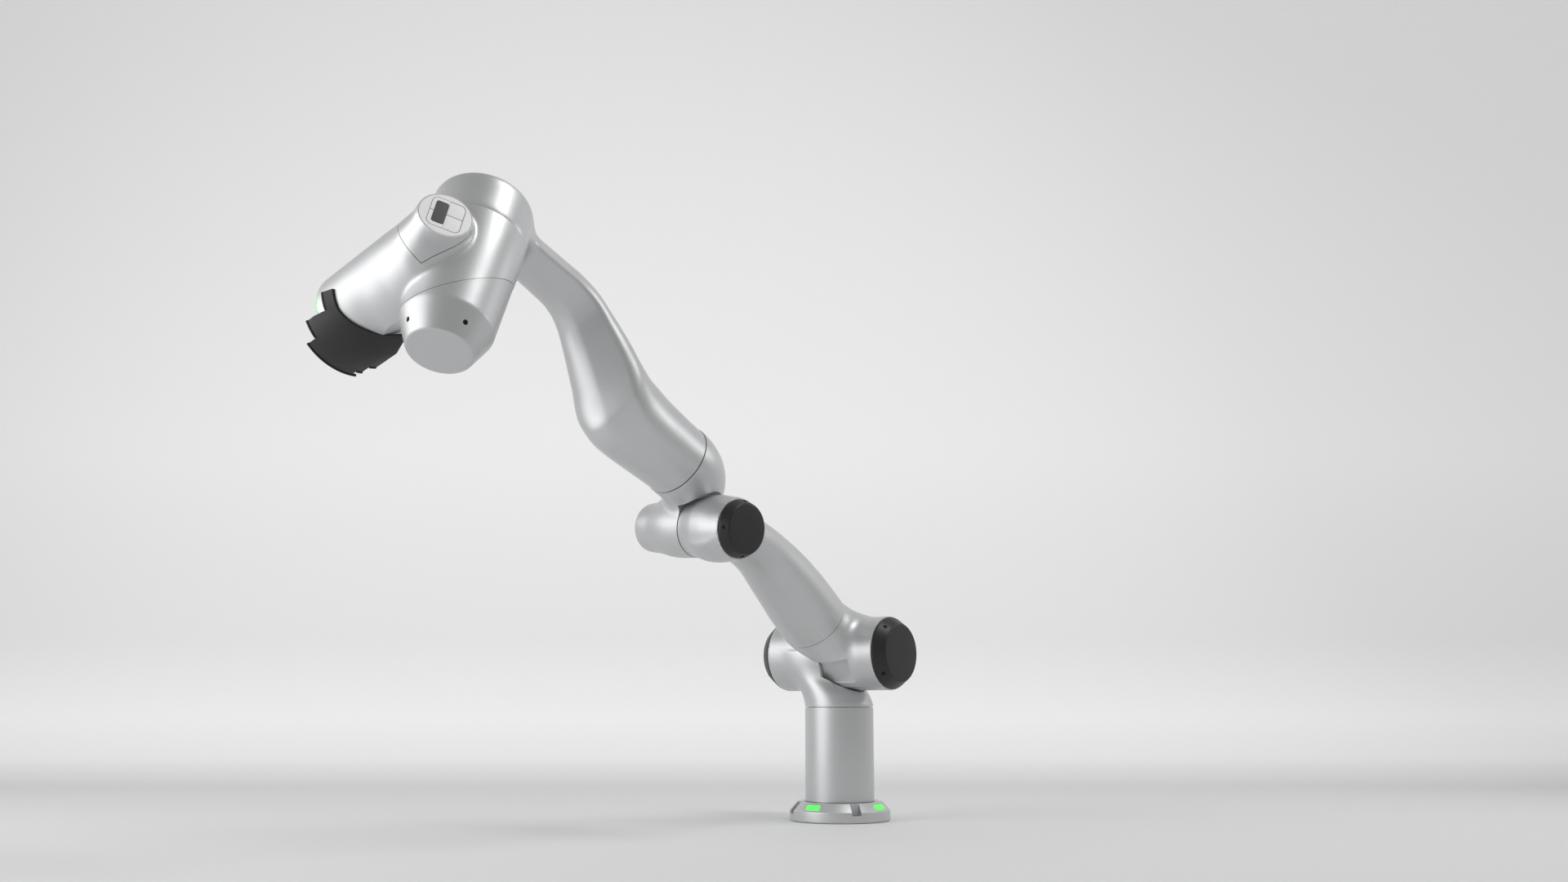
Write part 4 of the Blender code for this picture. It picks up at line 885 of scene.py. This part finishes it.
def make_tool():
    """The flange that a gripper is bolted to, with its four holes and its dowel."""
    face, inside, bore = -TUBE_END - TOOL_THICKNESS, TOOL_THICKNESS - TUBE_FACE, 0.010
    edge = arc([(bore, inside), (bore, face), (TOOL_RADIUS, face), (TOOL_RADIUS, inside)], 0.0008)
    profile = [(bore, inside), *edge]
    flange = object_of("plate", lathe("plate", profile, 128, ring=True), TUBE_PLACE)
    for i in range(4):
        hole = lathe("hole", [(0.0036, face - 0.01), (0.0036, face + 0.0006), (0.0030, face + 0.0012),
                              (0.0030, face + 0.008)], 48)
        cut(flange, hole, TUBE_PLACE @ spun(45 + 90 * i) @ Matrix.Translation((TOOL_BOLT_CIRCLE, 0, 0)))
    dowel = TUBE_PLACE @ Matrix.Translation((0, TOOL_BOLT_CIRCLE, 0))
    clear(flange, dowel, 0.0030, face - 0.01, face + 0.006, 48)
    add("tool_plate", flange, "tool", STEEL, "steel", "tool_flange")
    radius, low, high = 0.0027, face - 0.003, face + 0.0055
    profile = [(0.0001, low), *arc([(0.0001, low), (radius, low), (radius, high)], 0.0006), (0.0001, high)]
    pin = object_of("pin", lathe("pin", profile, 48), dowel)
    add("dowel_pin", pin, "tool", STEEL, "steel", "tool_dowel")


def dress_inner_nodes():
    """The solids that stay as they are: motors, bearing rings and the board."""
    for name, made in frame["nodes"].items():
        look = BOARD if "board" in name else INNER
        if "drive" in name or "output_ring" in name or "board" in name:
            made.data.materials.clear()
            made.data.materials.append(look)


# ---- studio ----
CAMERA_AT = Vector((1.972, 1.418, 0.1924))
CAMERA_RIGHT = Vector((-0.6161, 0.7877, 0.0))
CAMERA_AHEAD = Vector((-0.7877, -0.6161, 0.0))
CAMERA_PITCH = 11.26
# height in metres and glow of the wall behind the object
WALL_GLOW = ((0.0, 0.0), (0.01, 0.05), (0.06, 0.20), (0.16, 0.27), (0.40, 0.21), (1.0, 0.27))
LIGHT_AIM = Vector((0.45, 0.0, 0.45))


def make_camera():
    data = bpy.data.cameras.new("camera")
    data.lens, data.sensor_width, data.clip_start = 30.75, 36.0, 0.01
    camera = bpy.data.objects.new("camera", data)
    bpy.context.collection.objects.link(camera)
    ahead = turned_about(CAMERA_AHEAD, CAMERA_RIGHT, CAMERA_PITCH)
    up = CAMERA_RIGHT.cross(ahead)
    camera.matrix_world = (Matrix.Translation(CAMERA_AT)
                           @ Matrix((CAMERA_RIGHT, up, -ahead)).transposed().to_4x4())
    bpy.context.scene.camera = camera


def make_backdrop():
    """A floor that curves up into a softly lit wall behind the object."""
    half, floor, curve, top, sink = 8.0, 0.95, 1.1, 4.5, 0.0004
    profile = [(-half, 0.0), (floor, 0.0)]
    for turn in np.linspace(0.03, math.pi / 2, 40):
        profile.append((floor + curve * math.sin(turn), curve - curve * math.cos(turn)))
    profile.append((floor + curve, top))
    points, faces = [], []
    for along, height in profile:
        for across in (-half, half):
            spot = CAMERA_AHEAD * along + CAMERA_RIGHT * across
            points.append((spot.x, spot.y, height - sink))
    for i in range(len(profile) - 1):
        faces.append((2 * i, 2 * i + 1, 2 * i + 3, 2 * i + 2))
    sheet = object_of("backdrop", mesh_of("backdrop", points, faces, 80))
    look = finish("pale_backdrop", (0.80, 0.80, 0.805), 0.75, grain=60, bump=0.0, mottle=0.004)
    tree = look.node_tree
    where, split = tree.nodes.new("ShaderNodeTexCoord"), tree.nodes.new("ShaderNodeSeparateXYZ")
    ramp = tree.nodes.new("ShaderNodeValToRGB")
    stops = ramp.color_ramp.elements
    for height, level in WALL_GLOW[1:-1]:
        stops.new(height)
    for stop, (height, level) in zip(stops, WALL_GLOW):
        stop.position, stop.color = height, (level, level, level, 1)
    tree.links.new(where.outputs["Object"], split.inputs["Vector"])
    tree.links.new(split.outputs["Z"], ramp.inputs["Fac"])
    shader = tree.nodes["Principled BSDF"]
    tree.links.new(ramp.outputs["Color"], shader.inputs["Emission Color"])
    shader.inputs["Emission Strength"].default_value = 1.0
    sheet.data.materials.append(look)


def area_light(name, right, back, up, size, energy):
    """A soft box, set right of the aim, back towards the camera and up, in metres. Its energy is in W."""
    data = bpy.data.lights.new(name, "AREA")
    data.shape, data.size, data.size_y, data.energy = "RECTANGLE", size[0], size[1], energy
    light = bpy.data.objects.new(name, data)
    bpy.context.collection.objects.link(light)
    at = LIGHT_AIM + CAMERA_RIGHT * right - CAMERA_AHEAD * back + Z * up
    turn = (LIGHT_AIM - at).to_track_quat("-Z", "Z").to_matrix().to_4x4()
    light.matrix_world = Matrix.Translation(at) @ turn


def make_light():
    world = bpy.data.worlds.new("studio")
    bpy.context.scene.world = world
    world.use_nodes = True
    tree = world.node_tree
    shade = tree.nodes["Background"]
    shade.inputs["Strength"].default_value = 0.38
    shade.inputs["Color"].default_value = (1, 1, 1, 1)
    area_light("left_box", -2.2, 0.9, 0.65, (2.3, 2.2), 31)
    area_light("top_strip", 1.1, 0.3, 2.1, (0.6, 1.4), 16)
    area_light("side_box", 2.2, -0.5, 0.8, (0.4, 0.8), 4)
    bpy.context.scene.view_settings.view_transform = "Standard"


make_camera()
make_base()
make_caps()
make_swing(make_shoulder())
make_upper_arm()
make_elbow()
make_forearm()
make_wrist()
make_keys()
make_guard()
make_tube_end()
make_tool()
dress_inner_nodes()
make_backdrop()
make_light()
